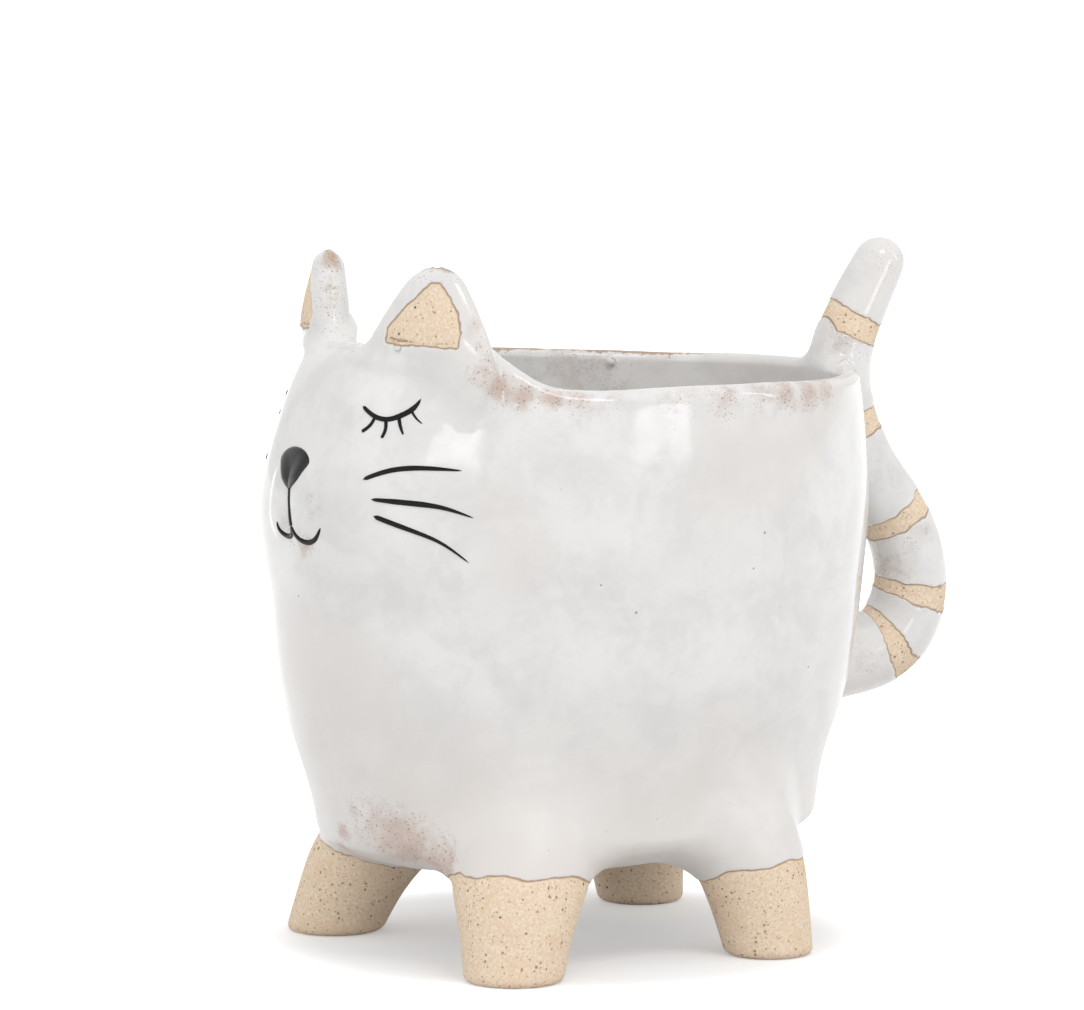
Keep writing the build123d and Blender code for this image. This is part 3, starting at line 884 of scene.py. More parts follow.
def make_skin(material):
    """The glazed surface: pot, haunches, ears and tail in one, with pockets for the bare clay."""
    points, triangles, gap, zone, names = shared_body()
    thickness = bpy.context.scene.planter_sizes.glaze / MM
    used, faces = compact(triangles[zone < 0])
    size = len(used)

    def glaze_field(spots):
        """The body with the glaze on it."""
        return clay_field(spots) - glaze_rise(zone_gap(spots), thickness)

    slope = normals_of(clay_field, points[used])
    outer = points[used] + slope * glaze_rise(gap[used], thickness)[:, None]
    normals = normals_of(glaze_field, outer)
    crown = np.maximum(ease(*CROWN_FACING, slope[:, 2]), ease(*CROWN_HEIGHTS, outer[:, 2]))
    beads = [(*bead, 2 * radius, 1) for *bead, radius in BEADS]
    breaks = spread(outer, BREAKS) * (1 - spread(outer, beads))
    thin = np.clip(crest(outer, slope) * breaks * crown, 0, 1)
    loops = faces.ravel()

    shapes = [outer]
    surfaces = [faces]
    total = size
    place = np.full(len(points), -1)
    place[used] = np.arange(size)
    for number, name in enumerate(names):
        patch = triangles[zone == number]
        if not len(patch):
            continue
        a, b = rim_edges(patch).T
        if name.startswith("leg"):
            shapes.append(points[a].mean(axis=0)[None])
            surfaces.append(np.column_stack([place[a], place[b], np.full(len(a), total)]))
        else:
            own, floor = compact(patch)
            base = points[own]
            shapes.append(base - normals_of(clay_field, base) * (pocket_depth(name) + POCKET_CLEARANCE))
            below = np.full(len(points), -1)
            below[own] = total + np.arange(len(own))
            surfaces.append(floor + total)
            surfaces.append(np.column_stack([place[a], place[b], below[b]]))
            surfaces.append(np.column_stack([place[a], below[b], below[a]]))
        total += len(shapes[-1])
    shape = np.concatenate(shapes)
    faces = np.concatenate(surfaces)
    corner = np.zeros((faces.size, 3))
    corner[:len(loops)] = normals[loops]
    # The blush holds thin glaze on the rim and ears, and painted shade under the belly, at the front
    # haunch, below the mouth and in the tail's bends
    values = {"edge_gap": gap[used], "thin": thin, "blush_and_shade": spread(outer, BLUSHES_AND_SHADE)}
    values = {key: np.append(value, np.zeros(total - size)) for key, value in values.items()}
    replaces = ["pot_body", "ear_left", "ear_right", "tail"]
    return add_piece("glazed_skin", shape, faces, material, replaces, corner, values)


def make_bare(name, material):
    """One bare clay piece: a foot closed across its top, or a panel or band with its back."""
    points, triangles, gap, zone, names = shared_body()
    used, faces = compact(triangles[zone == names.index(name)])
    a, b = rim_edges(faces).T
    top = points[used]
    size = len(top)
    if name.startswith("leg"):
        shape = np.concatenate([top, top[a].mean(axis=0)[None]])
        caps = [np.column_stack([b, a, np.full(len(a), size)])]
    else:
        shape = np.concatenate([top, top - normals_of(clay_field, top) * pocket_depth(name)])
        caps = [faces[:, ::-1] + size]
        caps.append(np.column_stack([b, a, a + size]))
        caps.append(np.column_stack([b, a + size, b + size]))
    faces = np.concatenate([faces] + caps)
    values = {"edge_gap": np.append(gap[used], np.zeros(len(shape) - size))}
    return add_piece(name + "_clay", shape, faces, material, [name], None, values)


def face_spot(turn, across, up):
    """Points of the glaze behind places in an upright plane that faces a turn from the front."""
    angle = math.radians(turn)
    right = np.array([math.cos(angle), math.sin(angle), 0])
    out = np.array([math.sin(angle), -math.cos(angle), 0])
    base = np.outer(across, right) + np.outer(up, (0, 0, 1))
    reach = np.full(len(base), SPOT_START)
    thickness = bpy.context.scene.planter_sizes.glaze / MM
    for _ in range(SPOT_ROUNDS):
        reach -= SPOT_STEP * (clay_field(base + reach[:, None] * out) - thickness)
    return base + reach[:, None] * out


def stroke_mesh(turn, points, widths):
    """One raised brush stroke on the surface, with rounded sides and ends."""
    line = smooth_line(points, STROKE_STEPS)
    place = np.linspace(0, 1, STROKE_STEPS)
    wide = np.interp(place, np.linspace(0, 1, len(widths)), widths) / 2
    inset = np.clip(np.minimum(place, 1 - place) / STROKE_TIP, 0, 1)
    tip = np.sqrt(np.clip(1 - (1 - inset) ** 2, 0.02, 1))
    wide = wide * tip
    along = unit(np.gradient(line, axis=0))
    across = np.column_stack([-along[:, 1], along[:, 0]])
    shares = np.linspace(-1, 1, STROKE_ACROSS)
    spots = line[:, None] + across[:, None] * (wide[:, None] * shares)[:, :, None]
    flat = spots.reshape(-1, 2)
    base = face_spot(turn, flat[:, 0], flat[:, 1])
    normal = normals_of(clay_field, base)
    dome = np.sqrt(np.clip(1 - shares ** 2, 0, 1))
    rise = (STROKE_RISE * tip[:, None] * dome[None] * np.minimum(1, wide[:, None] / FULL_STROKE)).ravel()
    top = base + normal * (PAINT_LIFT + rise)[:, None]
    return lattice(top, base - normal * STROKE_SUNK, STROKE_STEPS, STROKE_ACROSS)


def lattice(top, bottom, rows, columns):
    """Closed thin shell between two grids of points."""
    size = rows * columns
    faces = []
    for row in range(rows - 1):
        for column in range(columns - 1):
            a = row * columns + column
            quad = (a, a + 1, a + columns + 1, a + columns)
            faces.append(quad)
            faces.append(tuple(size + corner for corner in reversed(quad)))
    ring = list(range(columns - 1))
    ring += [row * columns + columns - 1 for row in range(rows - 1)]
    ring += [(rows - 1) * columns + column for column in range(columns - 1, 0, -1)]
    ring += [row * columns for row in range(rows - 1, 0, -1)]
    for start, end in zip(ring, ring[1:] + ring[:1]):
        faces.append((end, start, start + size, end + size))
    return np.concatenate([top, bottom]), faces


def join_meshes(parts):
    """Several meshes as one."""
    shapes = []
    faces = []
    total = 0
    for points, own in parts:
        shapes.append(points)
        faces += [tuple(total + corner for corner in face) for face in own]
        total += len(points)
    return np.concatenate(shapes), faces


def mirrored(points, side):
    """Given points for the cat's left, or mirrored for its right."""
    return [(side * across, up) for across, up in points]


LID = [(-7.6, 132.2), (-5.9, 131.1), (-3.9, 130.1), (-0.2, 129.6), (2.9, 130.7), (5.2, 132.3), (6.5, 134.5)]
LID_WIDTHS = [0.85, 1.0, 1.1, 1.15, 1.3, 1.35, 0.45]
LASHES = [
    [(-3.7, 129.9), (-4.5, 128.2), (-6.6, 126.5)],
    [(-0.9, 129.6), (-0.5, 127.3), (-1.1, 125.3)],
    [(2.2, 130.1), (2.9, 128.3), (4.0, 126.3)],
    [(4.9, 131.6), (6.2, 130.1), (7.8, 128.9)],
]
LASH_WIDTHS = [[0.8, 0.85, 0.85], [0.85, 0.85, 0.8], [0.85, 0.75, 0.4], [0.6, 0.45, 0.25]]
WHISKERS = [
    [(-16.2, 115.8), (-9.1, 118.2), (-1.2, 118.9), (6.9, 118.5)],
    [(-13.6, 111.4), (-2.9, 110.8), (3.3, 110.0), (10.1, 107.8)],
    [(-12.8, 107.6), (-2.7, 104.3), (3.0, 101.9), (8.9, 97.4)],
]
WHISKER_WIDTHS = [
    [0.95, 1.15, 1.2, 0.95, 0.35],
    [0.75, 1.25, 1.3, 0.9, 0.3],
    [1.15, 1.2, 0.95, 0.7, 0.3],
]
STEM = [(0.0, 113.2), (0.7, 108.6), (2.2, 103.0)]
STEM_WIDTHS = [1.1, 1.5, 2.0]
CURLS = [
    [(2.3, 103.1), (4.1, 101.3), (8.0, 99.9), (11.6, 101.3), (13.3, 103.8)],
    [(2.3, 103.1), (1.5, 101.3), (-0.6, 100.5), (-3.6, 101.6), (-4.8, 103.6)],
]
CURL_WIDTHS = [1.5, 1.4, 1.3, 1.2, 0.5]


def make_marks(name, strokes, material):
    """A group of painted strokes as one piece."""
    points, faces = join_meshes([stroke_mesh(*stroke) for stroke in strokes])
    return add_piece(name + "_enamel", points, faces, material, [name])


def nose_ring():
    """Even points round the nose: an arc over the top, two cheeks and the tip."""
    half = NOSE_WIDTH / 2
    side = NOSE_TOP - NOSE_HEIGHT * NOSE_SIDE_SHARE
    turns = np.linspace(-NOSE_ARC, NOSE_ARC, 15)
    arc = [(half * math.sin(turn), side + (NOSE_TOP - side) * math.cos(turn)) for turn in turns]
    cheek = (half * NOSE_CHEEK[0], NOSE_TOP - NOSE_HEIGHT * NOSE_CHEEK[1])
    tip = (0.0, NOSE_TOP - NOSE_HEIGHT - NOSE_TIP_DROP)
    closed = np.array(arc + [cheek, tip, (-cheek[0], cheek[1]), arc[0]])
    place = distances(closed)
    even = np.linspace(0, place[-1], NOSE_AROUND, endpoint=False)
    ring = np.column_stack([np.interp(even, place, closed[:, 0]), np.interp(even, place, closed[:, 1])])
    for _ in range(3):
        ring = 0.5 * ring + 0.25 * (np.roll(ring, 1, axis=0) + np.roll(ring, -1, axis=0))
    return ring


def make_nose(material):
    """Domed triangle with rounded corners, laid on the surface in rings round its middle."""
    ring = nose_ring()
    middle = np.array([0.0, NOSE_TOP - NOSE_HEIGHT * NOSE_MIDDLE_SHARE])
    spots = np.concatenate([middle[None]] + [middle + (ring - middle) * step for step in NOSE_RINGS])
    base = face_spot(0, spots[:, 0], spots[:, 1])
    normal = normals_of(clay_field, base)
    levels = np.concatenate([[0], np.repeat(NOSE_RINGS, NOSE_AROUND)])
    top = base + normal * (PAINT_LIFT + NOSE_RISE * (1 - levels ** 4) ** 0.5)[:, None]
    sunk = base - normal * NOSE_SUNK
    points = np.concatenate([top, sunk[-NOSE_AROUND:], sunk[:1]])
    last = len(points) - 1
    faces = []
    for n in range(NOSE_AROUND):
        m = (n + 1) % NOSE_AROUND
        faces.append((0, 1 + m, 1 + n))
        for low in range(1, 1 + len(NOSE_RINGS) * NOSE_AROUND, NOSE_AROUND):
            high = low + NOSE_AROUND
            faces.append((low + n, low + m, high + m, high + n))
        faces.append((high + n, high + m, last))
    return add_piece("nose_enamel", points, faces, material, ["nose"])


class Wire:
    """A node's output, with arithmetic that adds the nodes it needs."""

    def __init__(self, tree, socket):
        self.tree = tree
        self.socket = socket

    def maths(self, operation, *others):
        """This value and others through one Math node."""
        inputs = dict(enumerate((self,) + others))
        return add_node(self.tree, "ShaderNodeMath", {"operation": operation}, inputs)

    def __add__(self, other):
        return self.maths("ADD", other)

    __radd__ = __add__

    def __sub__(self, other):
        return self.maths("SUBTRACT", other)

    def __rsub__(self, other):
        return add_node(self.tree, "ShaderNodeMath", {"operation": "SUBTRACT"}, {0: other, 1: self})

    def __mul__(self, other):
        return self.maths("MULTIPLY", other)

    __rmul__ = __mul__

    def __lt__(self, other):
        return self.maths("LESS_THAN", other)

    def clamp(self):
        """Kept between 0 and 1."""
        return add_node(self.tree, "ShaderNodeClamp", {}, {0: self})

    def ease(self, low, high):
        """0 at low, 1 at high, smooth between."""
        inputs = {0: self, 1: low, 2: high, 3: 0.0, 4: 1.0}
        return add_node(self.tree, "ShaderNodeMapRange", {"interpolation_type": "SMOOTHSTEP"}, inputs)


def add_node(tree, kind, settings, inputs, output=0):
    """Add a node, set what it is, then its sockets' values or links."""
    node = tree.nodes.new(kind)
    for key, value in settings.items():
        setattr(node, key, value)
    for key, value in inputs.items():
        socket = node.inputs[key]
        if isinstance(value, Wire):
            tree.links.new(value.socket, socket)
        else:
            socket.default_value = value
    return Wire(tree, node.outputs[output])


def blend_colours(tree, factor, first, second):
    """First colour where the factor is 0, second where it is 1."""
    node = tree.nodes.new("ShaderNodeMix")
    node.data_type = "RGBA"
    for index, value in ((0, factor), (6, first), (7, second)):
        socket = node.inputs[index]
        if isinstance(value, Wire):
            tree.links.new(value.socket, socket)
        else:
            socket.default_value = (*value, 1)[:4] if index else value
    return Wire(tree, node.outputs[2])


def noise(tree, place, size, detail, roughness, distortion):
    """Cloudy value about one half, with features about a size in metres."""
    inputs = {"Vector": place, "Scale": 1 / size, "Detail": detail}
    inputs.update({"Roughness": roughness, "Distortion": distortion})
    return add_node(tree, "ShaderNodeTexNoise", {}, inputs)


def specks(tree, place, size, share, radius):
    """1 in a share of scattered dots, whose spacing is a size in metres and radius a share of it."""
    inputs = {"Vector": place, "Scale": 1 / size, "Randomness": 1.0}
    distance = add_node(tree, "ShaderNodeTexVoronoi", {}, inputs, "Distance")
    colour = add_node(tree, "ShaderNodeTexVoronoi", {}, inputs, "Color")
    parts, other = (add_node(tree, "ShaderNodeSeparateColor", {}, {0: colour}, output) for output in (0, 1))
    reach = radius * (0.45 + 0.55 * other)
    edge = (reach - distance).ease(0.0, radius * 0.35)
    return edge * (parts < share)


def height_of(tree, place):
    """Height above the ground in metres."""
    return add_node(tree, "ShaderNodeSeparateXYZ", {}, {0: place}, "Z")


def attribute(tree, name):
    """Value kept on the mesh."""
    return add_node(tree, "ShaderNodeAttribute", {"attribute_name": name}, {}, "Fac")


def new_material(name):
    """Empty material with its output, and the place on the object."""
    material = bpy.data.materials.new(name)
    material.use_nodes = True
    tree = material.node_tree
    tree.nodes.clear()
    place = add_node(tree, "ShaderNodeTexCoord", {}, {}, "Object")
    return material, tree, place


def shown_rays(tree):
    """1 for what is seen straight, in a reflection or through glass."""
    path = tree.nodes.new("ShaderNodeLightPath")
    names = ("Is Camera Ray", "Is Glossy Ray", "Is Transmission Ray")
    straight, glossy, through = (Wire(tree, path.outputs[name]) for name in names)
    return (straight + glossy + through).clamp()


def lay_colours(tree, colour, layers):
    """Lay further colours over the first, each as strongly as its factor says."""
    for factor, over in layers:
        colour = blend_colours(tree, factor, colour, over)
    return colour


def bump(tree, height, strength, distance):
    """Normal of a surface made uneven by a height."""
    inputs = {"Strength": strength, "Distance": distance, "Height": height}
    return add_node(tree, "ShaderNodeBump", {}, inputs, "Normal")


def finish_material(tree, colour, roughness, settings):
    """Shader with its colour and roughness, and what else the settings say."""
    inputs = {"Base Color": colour, "Roughness": roughness, **settings}
    shader = add_node(tree, "ShaderNodeBsdfPrincipled", {}, inputs, "BSDF")
    output = tree.nodes.new("ShaderNodeOutputMaterial")
    tree.links.new(shader.socket, output.inputs["Surface"])


def srgb(red, green, blue):
    """Linear colour of a screen colour from 0 to 255."""
    values = []
    for level in (red, green, blue):
        share = level / 255
        values.append(share / 12.92 if share <= 0.04045 else ((share + 0.055) / 1.055) ** 2.4)
    return tuple(values)


# Clouds: size in metres, detail, roughness and distortion
CLOUDS = {
    "clouds": (0.016, 4.0, 0.6, 0.5), "wisps": (0.0045, 4.0, 0.6, 0.8), "fine": (0.0008, 2.0, 0.6, 0.0),
    "broad": (0.045, 2.0, 0.5, 0.0), "grain": (0.0007, 3.0, 0.7, 0.0), "warm": (0.009, 3.0, 0.6, 0.0),
    "brush": (0.003, 3.0, 0.6, 0.0), "paper": (0.2, 2.0, 0.5, 0.0),
}
# Specks: spacing in metres, how many of the places have one, and radius as a share of the spacing
SPECKS = {
    "freckles": (0.00075, 0.75, 0.42), "blots": (0.0017, 0.35, 0.22), "dots": (0.0085, 0.45, 0.055),
    "small": (0.0034, 0.24, 0.070), "dust": (0.0009, 0.45, 0.40), "grog": (0.0016, 0.45, 0.28),
    "iron": (0.0030, 0.40, 0.17),
}
# Heights in metres over which the glaze is thinner and less glossy, and where the paper begins to glow
THIN_HEIGHTS = (0.030, 0.085)
SATIN_HEIGHTS = (0.045, 0.075)
GLOW_REACH = (0.058, 0.094)


def glaze_material():
    """Off-white glossy glaze that breaks brown where it is thin, with clouds and specks."""
    colours = bpy.context.scene.planter_colours
    material, tree, place = new_material("speckled_glaze")
    gap, thin, blush_and_shade = (attribute(tree, name) for name in ("edge_gap", "thin", "blush_and_shade"))
    names = ("clouds", "wisps", "fine", "broad")
    clouds, wisps, fine, broad = (noise(tree, place, *CLOUDS[name]) for name in names)
    names = ("freckles", "blots", "dots", "small")
    freckles, blots, dots, small = (specks(tree, place, *SPECKS[name]) for name in names)
    low = 1 - height_of(tree, place).ease(*THIN_HEIGHTS)
    satin = 1 - height_of(tree, place).ease(*SATIN_HEIGHTS)
    patchy = (wisps - 0.5) * 1.1 + (clouds - 0.5) * 0.8 + (fine - 0.5) * 0.5
    # Blush marks thin glaze on the rim and ears, and is painted shade under the belly, at the front haunch,
    # below the mouth and in the tail's bends
    rough_blush_and_shade = (blush_and_shade + patchy) * blush_and_shade.ease(0.02, 0.15)
    brown = (thin + (wisps - 0.5) * 0.45 + (fine - 0.5) * 0.2) * thin.ease(0.02, 0.10)
    line = 1 - (gap + (wisps - 0.5) * 0.7 + (fine - 0.5) * 0.3).ease(0.10, 0.40)
    colour = lay_colours(tree, colours.glaze, [
        ((clouds * 0.7 + wisps * 0.3).ease(0.38, 0.66), colours.glaze_grey),
        ((broad.ease(0.42, 0.70) * 0.7 + low * 0.5).clamp(), colours.glaze_pink),
        (fine.ease(0.5, 0.8) * 0.20, colours.glaze_grey),
        # Painted shade and thin glaze blush in a darker pinkish brown, with freckles and blots following it
        (rough_blush_and_shade.ease(0.15, 1.1) * 0.95, colours.glaze_thin),
        (brown.ease(0.45, 0.85) * 0.85, colours.glaze_break),
        (freckles * (blush_and_shade + thin).ease(0.05, 0.6) * 0.75, colours.glaze_freckle),
        (blots * (blush_and_shade + thin).ease(0.15, 0.9) * 0.6, colours.speck),
        ((dots * 0.60 + small * 0.34).clamp(), colours.speck),
        (line * 0.75, colours.edge_line),
    ])
    roughness = 0.06 + 0.05 * wisps + 0.15 * brown.clamp() + 0.30 * satin
    normal = bump(tree, fine * 0.15 + wisps * 1.0 - dots * 0.6, 0.08, 0.00025)
    finish_material(tree, colour, roughness, {"Normal": normal, "IOR": 1.45, "Specular IOR Level": 0.5})
    return material


def clay_material():
    """Matt sandy stoneware with dark specks and pale grains."""
    colours = bpy.context.scene.planter_colours
    material, tree, place = new_material("bare_stoneware")
    gap = attribute(tree, "edge_gap")
    grain, warm = (noise(tree, place, *CLOUDS[name]) for name in ("grain", "warm"))
    dust, grog, iron = (specks(tree, place, *SPECKS[name]) for name in ("dust", "grog", "iron"))
    line = (gap + (grain - 0.5) * 0.5).ease(-0.34, -0.05)
    colour = lay_colours(tree, colours.clay, [
        (grain.ease(0.35, 0.70), colours.clay_pale),
        (warm.ease(0.5, 0.75) * 0.5, colours.clay_warm),
        (dust * 0.55, colours.clay_dark),
        (grog * 0.80, colours.clay_dark),
        (iron * 0.9, colours.speck),
        (line * 0.55, colours.edge_line),
    ])
    normal = bump(tree, grain * 1.0 - grog * 0.7 - iron * 0.8, 0.45, 0.0003)
    settings = {"Normal": normal, "IOR": 1.45, "Specular IOR Level": 0.3}
    finish_material(tree, colour, 0.70 + 0.2 * grain, settings)
    return material


def enamel_material(name="black_brushwork", shine=0.15):
    """Black overglaze with the pull of the brush."""
    colours = bpy.context.scene.planter_colours
    material, tree, place = new_material(name)
    brush = noise(tree, place, *CLOUDS["brush"])
    colour = blend_colours(tree, brush.ease(0.4, 0.7), colours.enamel, colours.enamel_pale)
    settings = {"Normal": bump(tree, brush, 0.2, 0.0002), "IOR": 1.5, "Specular IOR Level": shine}
    finish_material(tree, colour, 0.16 + 0.12 * brush, settings)
    return material


def nose_material():
    """The same enamel laid thick, and glossier."""
    return enamel_material("black_nose", 0.35)


def floor_material():
    """Plain white paper that keeps the shadow."""
    material, tree, place = new_material("white_paper")
    colours = bpy.context.scene.planter_colours
    shade = blend_colours(tree, noise(tree, place, *CLOUDS["paper"]), colours.floor, colours.floor_shade)
    away = add_node(tree, "ShaderNodeVectorMath", {"operation": "LENGTH"}, {0: place}, "Value")
    glow = (FLOOR_GLOW + (1 - FLOOR_GLOW) * away.ease(*GLOW_REACH)) * shown_rays(tree)
    light = blend_colours(tree, glow, (0, 0, 0), (1, 1, 1))
    settings = {"Specular IOR Level": 0.0, "Emission Color": light, "Emission Strength": 1.0}
    finish_material(tree, shade, 0.9, settings)
    return material


MATERIALS = {
    "glaze": glaze_material, "clay": clay_material, "enamel": enamel_material, "nose": nose_material,
}
MADE = {}


def material_of(key):
    """Each material is made once."""
    if key not in MADE:
        MADE[key] = MATERIALS[key]()
    return MADE[key]


class PlanterSizes(bpy.types.PropertyGroup):
    """Lengths that the pieces are made with"""
    cell: FloatProperty(
        name="Cell", description="Spacing of the surface's points", default=1.25 * MM, unit="LENGTH"
    )
    glaze: FloatProperty(
        name="Glaze", description="Thickness of the glaze on the clay", default=0.3 * MM, unit="LENGTH"
    )


def colour_property(name, description, value):
    """Property that holds one colour."""
    return FloatVectorProperty(
        name=name, description=description, default=value, subtype="COLOR", size=3, min=0, max=1
    )


class PlanterColours(bpy.types.PropertyGroup):
    """Colours of the glaze, the clay, the paint and the paper"""
    glaze: colour_property("Glaze", "Thick glaze", srgb(231, 230, 228))
    glaze_grey: colour_property("Cool grey", "Clouds in the glaze", srgb(219, 218, 217))
    glaze_pink: colour_property("Pinkish", "Thinner glaze low on the pot", srgb(222, 217, 213))
    # Also the colour of the painted shade under the belly, at the front haunch, below the mouth and in the
    # tail's bends
    glaze_thin: colour_property("Blush", "Thin pinkish glaze", srgb(197, 177, 166))
    glaze_freckle: colour_property("Freckles", "Fine spots in thin glaze", srgb(156, 128, 114))
    glaze_break: colour_property("Broken glaze", "Glaze on sharp edges", srgb(164, 132, 98))
    edge_line: colour_property("Glaze line", "Line where the glaze ends", srgb(150, 118, 84))
    speck: colour_property("Specks", "Iron specks", srgb(92, 76, 64))
    clay: colour_property("Clay", "Bare clay", srgb(226, 202, 174))
    clay_pale: colour_property("Pale grains", "Pale grains in the clay", srgb(243, 226, 205))
    clay_warm: colour_property("Warm clay", "Warm clouds in the clay", srgb(224, 196, 162))
    clay_dark: colour_property("Dark grains", "Dark grains in the clay", srgb(150, 122, 96))
    enamel: colour_property("Enamel", "Painted marks", srgb(14, 13, 14))
    enamel_pale: colour_property("Pale enamel", "Where the paint is thin", srgb(24, 23, 24))
    floor: colour_property("Floor", "Paper under the planter", srgb(217, 217, 217))
    floor_shade: colour_property("Floor shade", "Faint clouds in the paper", srgb(215, 215, 215))


class PLANTER_OT_skin(bpy.types.Operator):
    """Make the glazed skin of the pot, ears and tail"""
    bl_idname = "planter.skin"
    bl_label = "Glazed skin"

    def execute(self, context):
        make_skin(material_of("glaze"))
        return {"FINISHED"}


class PLANTER_OT_feet(bpy.types.Operator):
    """Make the four bare clay feet"""
    bl_idname = "planter.feet"
    bl_label = "Bare feet"

    def execute(self, context):
        for name in LEGS:
            make_bare("leg_" + name, material_of("clay"))
        return {"FINISHED"}


class PLANTER_OT_panels(bpy.types.Operator):
    """Make the bare clay panels in the ears"""
    bl_idname = "planter.panels"
    bl_label = "Ear panels"

    def execute(self, context):
        for hand in ("left", "right"):
            make_bare("ear_panel_" + hand, material_of("clay"))
        return {"FINISHED"}


class PLANTER_OT_bands(bpy.types.Operator):
    """Make the bare clay bands round the tail"""
    bl_idname = "planter.bands"
    bl_label = "Tail bands"

    def execute(self, context):
        for number in range(1, len(BANDS) + 1):
            make_bare("tail_band_" + str(number), material_of("clay"))
        return {"FINISHED"}


class PLANTER_OT_face(bpy.types.Operator):
    """Paint the nose, mouth, eyes and whiskers"""
    bl_idname = "planter.face"
    bl_label = "Painted face"

    def execute(self, context):
        enamel = material_of("enamel")
        make_nose(material_of("nose"))
        mouth = zip([STEM] + CURLS, [STEM_WIDTHS] + [CURL_WIDTHS] * len(CURLS))
        make_marks("mouth", [(0, line, widths) for line, widths in mouth], enamel)
        for side, hand in ((1, "left"), (-1, "right")):
            groups = [("eye_", EYE_TURNS[side], [LID] + LASHES, [LID_WIDTHS] + LASH_WIDTHS)]
            groups.append(("whiskers_", side * WHISKER_TURN, WHISKERS, WHISKER_WIDTHS))
            for name, turn, lines, widths in groups:
                strokes = [(turn, mirrored(line, side), wide) for line, wide in zip(lines, widths)]
                make_marks(name + hand, strokes, enamel)
        return {"FINISHED"}


# The photograph's view: turn from the front, distance, height, and the point it looks at, across and up
VIEW_TURN = math.radians(61.0)
VIEW_DISTANCE = 1655.0
VIEW_HEIGHT = 296.0
VIEW_AIM = (-5.58, 103.75)
VIEW_FOCAL_PIXELS = 7020.0
IMAGE_WIDTH = 1084
SENSOR = 36.0
VIEW_END = 50
WORLD_LIGHT = 0.82
# Light of the paper near the pot, as a share of full white, and half its side in metres
FLOOR_GLOW = 0.30
FLOOR_REACH = 8.0
BOX_DISTANCE = 1.2
# Soft boxes: point they look at, turn from the front, height angle, width and height, and brightness
BOXES = [
    ("left_box", (38.0, -51.0, 124.3), 43.0, 18.5, (0.40, 0.15), 4.3),
    ("right_box", (55.0, -5.5, 126.3), 110.5, 11.0, (0.40, 0.16), 4.3),
    ("top_box", (45.0, -15.0, 136.0), 88.0, 55.0, (0.50, 0.34), 5.5),
    ("edge_box", (30.0, -40.0, 150.0), 152.0, 24.0, (0.10, 0.60), 5.0),
    ("front_fill", (20.0, -60.0, 80.0), 8.0, 22.0, (1.10, 0.90), 0.48),
]


def add_camera():
    """Camera at the photograph's angle."""
    camera = bpy.data.cameras.new("camera")
    camera.sensor_width = SENSOR
    camera.lens = VIEW_FOCAL_PIXELS * SENSOR / IMAGE_WIDTH
    camera.clip_end = VIEW_END
    place = np.array([math.sin(VIEW_TURN), -math.cos(VIEW_TURN), 0]) * VIEW_DISTANCE + (0, 0, VIEW_HEIGHT)
    aim = np.array([math.cos(VIEW_TURN) * VIEW_AIM[0], math.sin(VIEW_TURN) * VIEW_AIM[0], VIEW_AIM[1]])
    item = bpy.data.objects.new("camera", camera)
    item.location = to_world(place)
    item.rotation_euler = Vector((aim - place).tolist()).to_track_quat("-Z", "Y").to_euler()
    bpy.context.scene.collection.objects.link(item)
    bpy.context.scene.camera = item


def add_lamp(name, aim, turn, height, size, glow):
    """Soft box that looks at a point of the pot, from a turn and a height angle in degrees."""
    lamp = bpy.data.lights.new(name, "AREA")
    lamp.shape = "RECTANGLE"
    lamp.size, lamp.size_y = size
    lamp.energy = glow * math.pi * size[0] * size[1]
    turn, height = math.radians(turn), math.radians(height)
    level = math.cos(height)
    away = Vector((math.sin(turn) * level, -math.cos(turn) * level, math.sin(height)))
    item = bpy.data.objects.new(name, lamp)
    item.location = Vector(to_world(np.array(aim)).tolist()) + away * BOX_DISTANCE
    item.rotation_euler = (-away).to_track_quat("-Z", "Y").to_euler()
    bpy.context.scene.collection.objects.link(item)


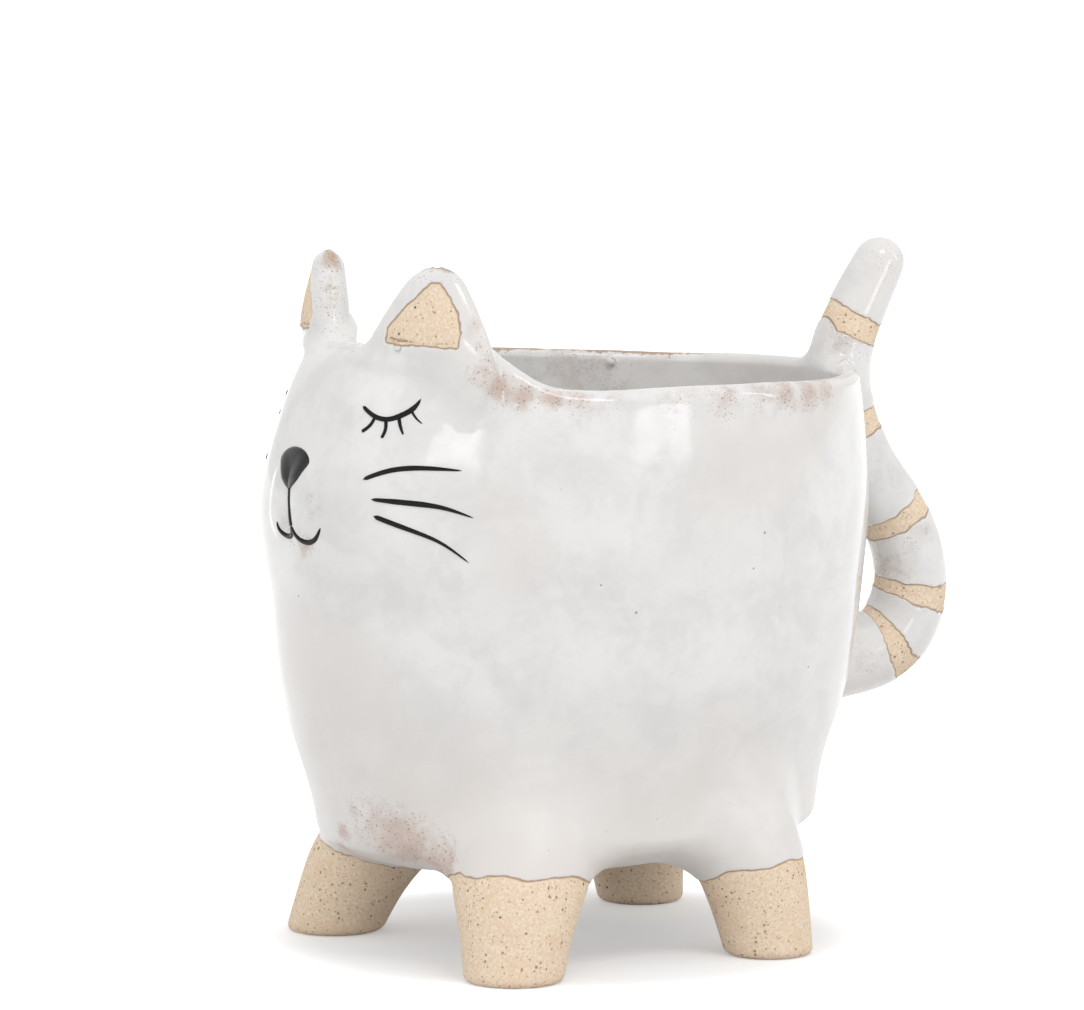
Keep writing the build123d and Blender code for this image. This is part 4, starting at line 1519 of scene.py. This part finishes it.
class PLANTER_OT_stage(bpy.types.Operator):
    """Set a plain floor, soft light and the camera"""
    bl_idname = "planter.stage"
    bl_label = "Stage"

    def execute(self, context):
        mesh = bpy.data.meshes.new("floor")
        corners = [(x * FLOOR_REACH, y * FLOOR_REACH, 0) for x, y in ((-1, -1), (1, -1), (1, 1), (-1, 1))]
        mesh.from_pydata(corners, [], [(0, 1, 2, 3)])
        mesh.materials.append(floor_material())
        floor = bpy.data.objects.new("floor", mesh)
        floor.location = to_world(np.zeros(3))
        context.scene.collection.objects.link(floor)
        add_camera()
        for box in BOXES:
            add_lamp(*box)
        world = bpy.data.worlds.new("studio")
        context.scene.world = world
        world.use_nodes = True
        tree = world.node_tree
        tree.nodes.clear()
        inputs = [{"Color": (1, 1, 1, 1), "Strength": strength} for strength in (WORLD_LIGHT, 1.0)]
        light, white = (add_node(tree, "ShaderNodeBackground", {}, values) for values in inputs)
        both = add_node(tree, "ShaderNodeMixShader", {}, {0: shown_rays(tree), 1: light, 2: white})
        output = tree.nodes.new("ShaderNodeOutputWorld")
        tree.links.new(both.socket, output.inputs["Surface"])
        context.scene.view_settings.view_transform = "Standard"
        return {"FINISHED"}


class PLANTER_PT_panel(bpy.types.Panel):
    """Steps that make the planter"""
    bl_label = "Cat planter"
    bl_idname = "PLANTER_PT_panel"
    bl_space_type = "VIEW_3D"
    bl_region_type = "UI"
    bl_category = "Planter"

    def draw(self, context):
        for operator in OPERATORS:
            self.layout.operator(operator.bl_idname)


OPERATORS = (
    PLANTER_OT_skin, PLANTER_OT_feet, PLANTER_OT_panels,
    PLANTER_OT_bands, PLANTER_OT_face, PLANTER_OT_stage,
)
CLASSES = (PlanterSizes, PlanterColours) + OPERATORS + (PLANTER_PT_panel,)


def register():
    """Add the classes and the scene's sizes and colours."""
    for entry in CLASSES:
        bpy.utils.register_class(entry)
    bpy.types.Scene.planter_sizes = PointerProperty(type=PlanterSizes)
    bpy.types.Scene.planter_colours = PointerProperty(type=PlanterColours)


def unregister():
    """Take them away again."""
    del bpy.types.Scene.planter_colours
    del bpy.types.Scene.planter_sizes
    for entry in reversed(CLASSES):
        bpy.utils.unregister_class(entry)


def main():
    """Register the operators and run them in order."""
    register()
    bpy.ops.planter.skin()
    bpy.ops.planter.feet()
    bpy.ops.planter.panels()
    bpy.ops.planter.bands()
    bpy.ops.planter.face()
    bpy.ops.planter.stage()


if __name__ == "__main__":
    main()
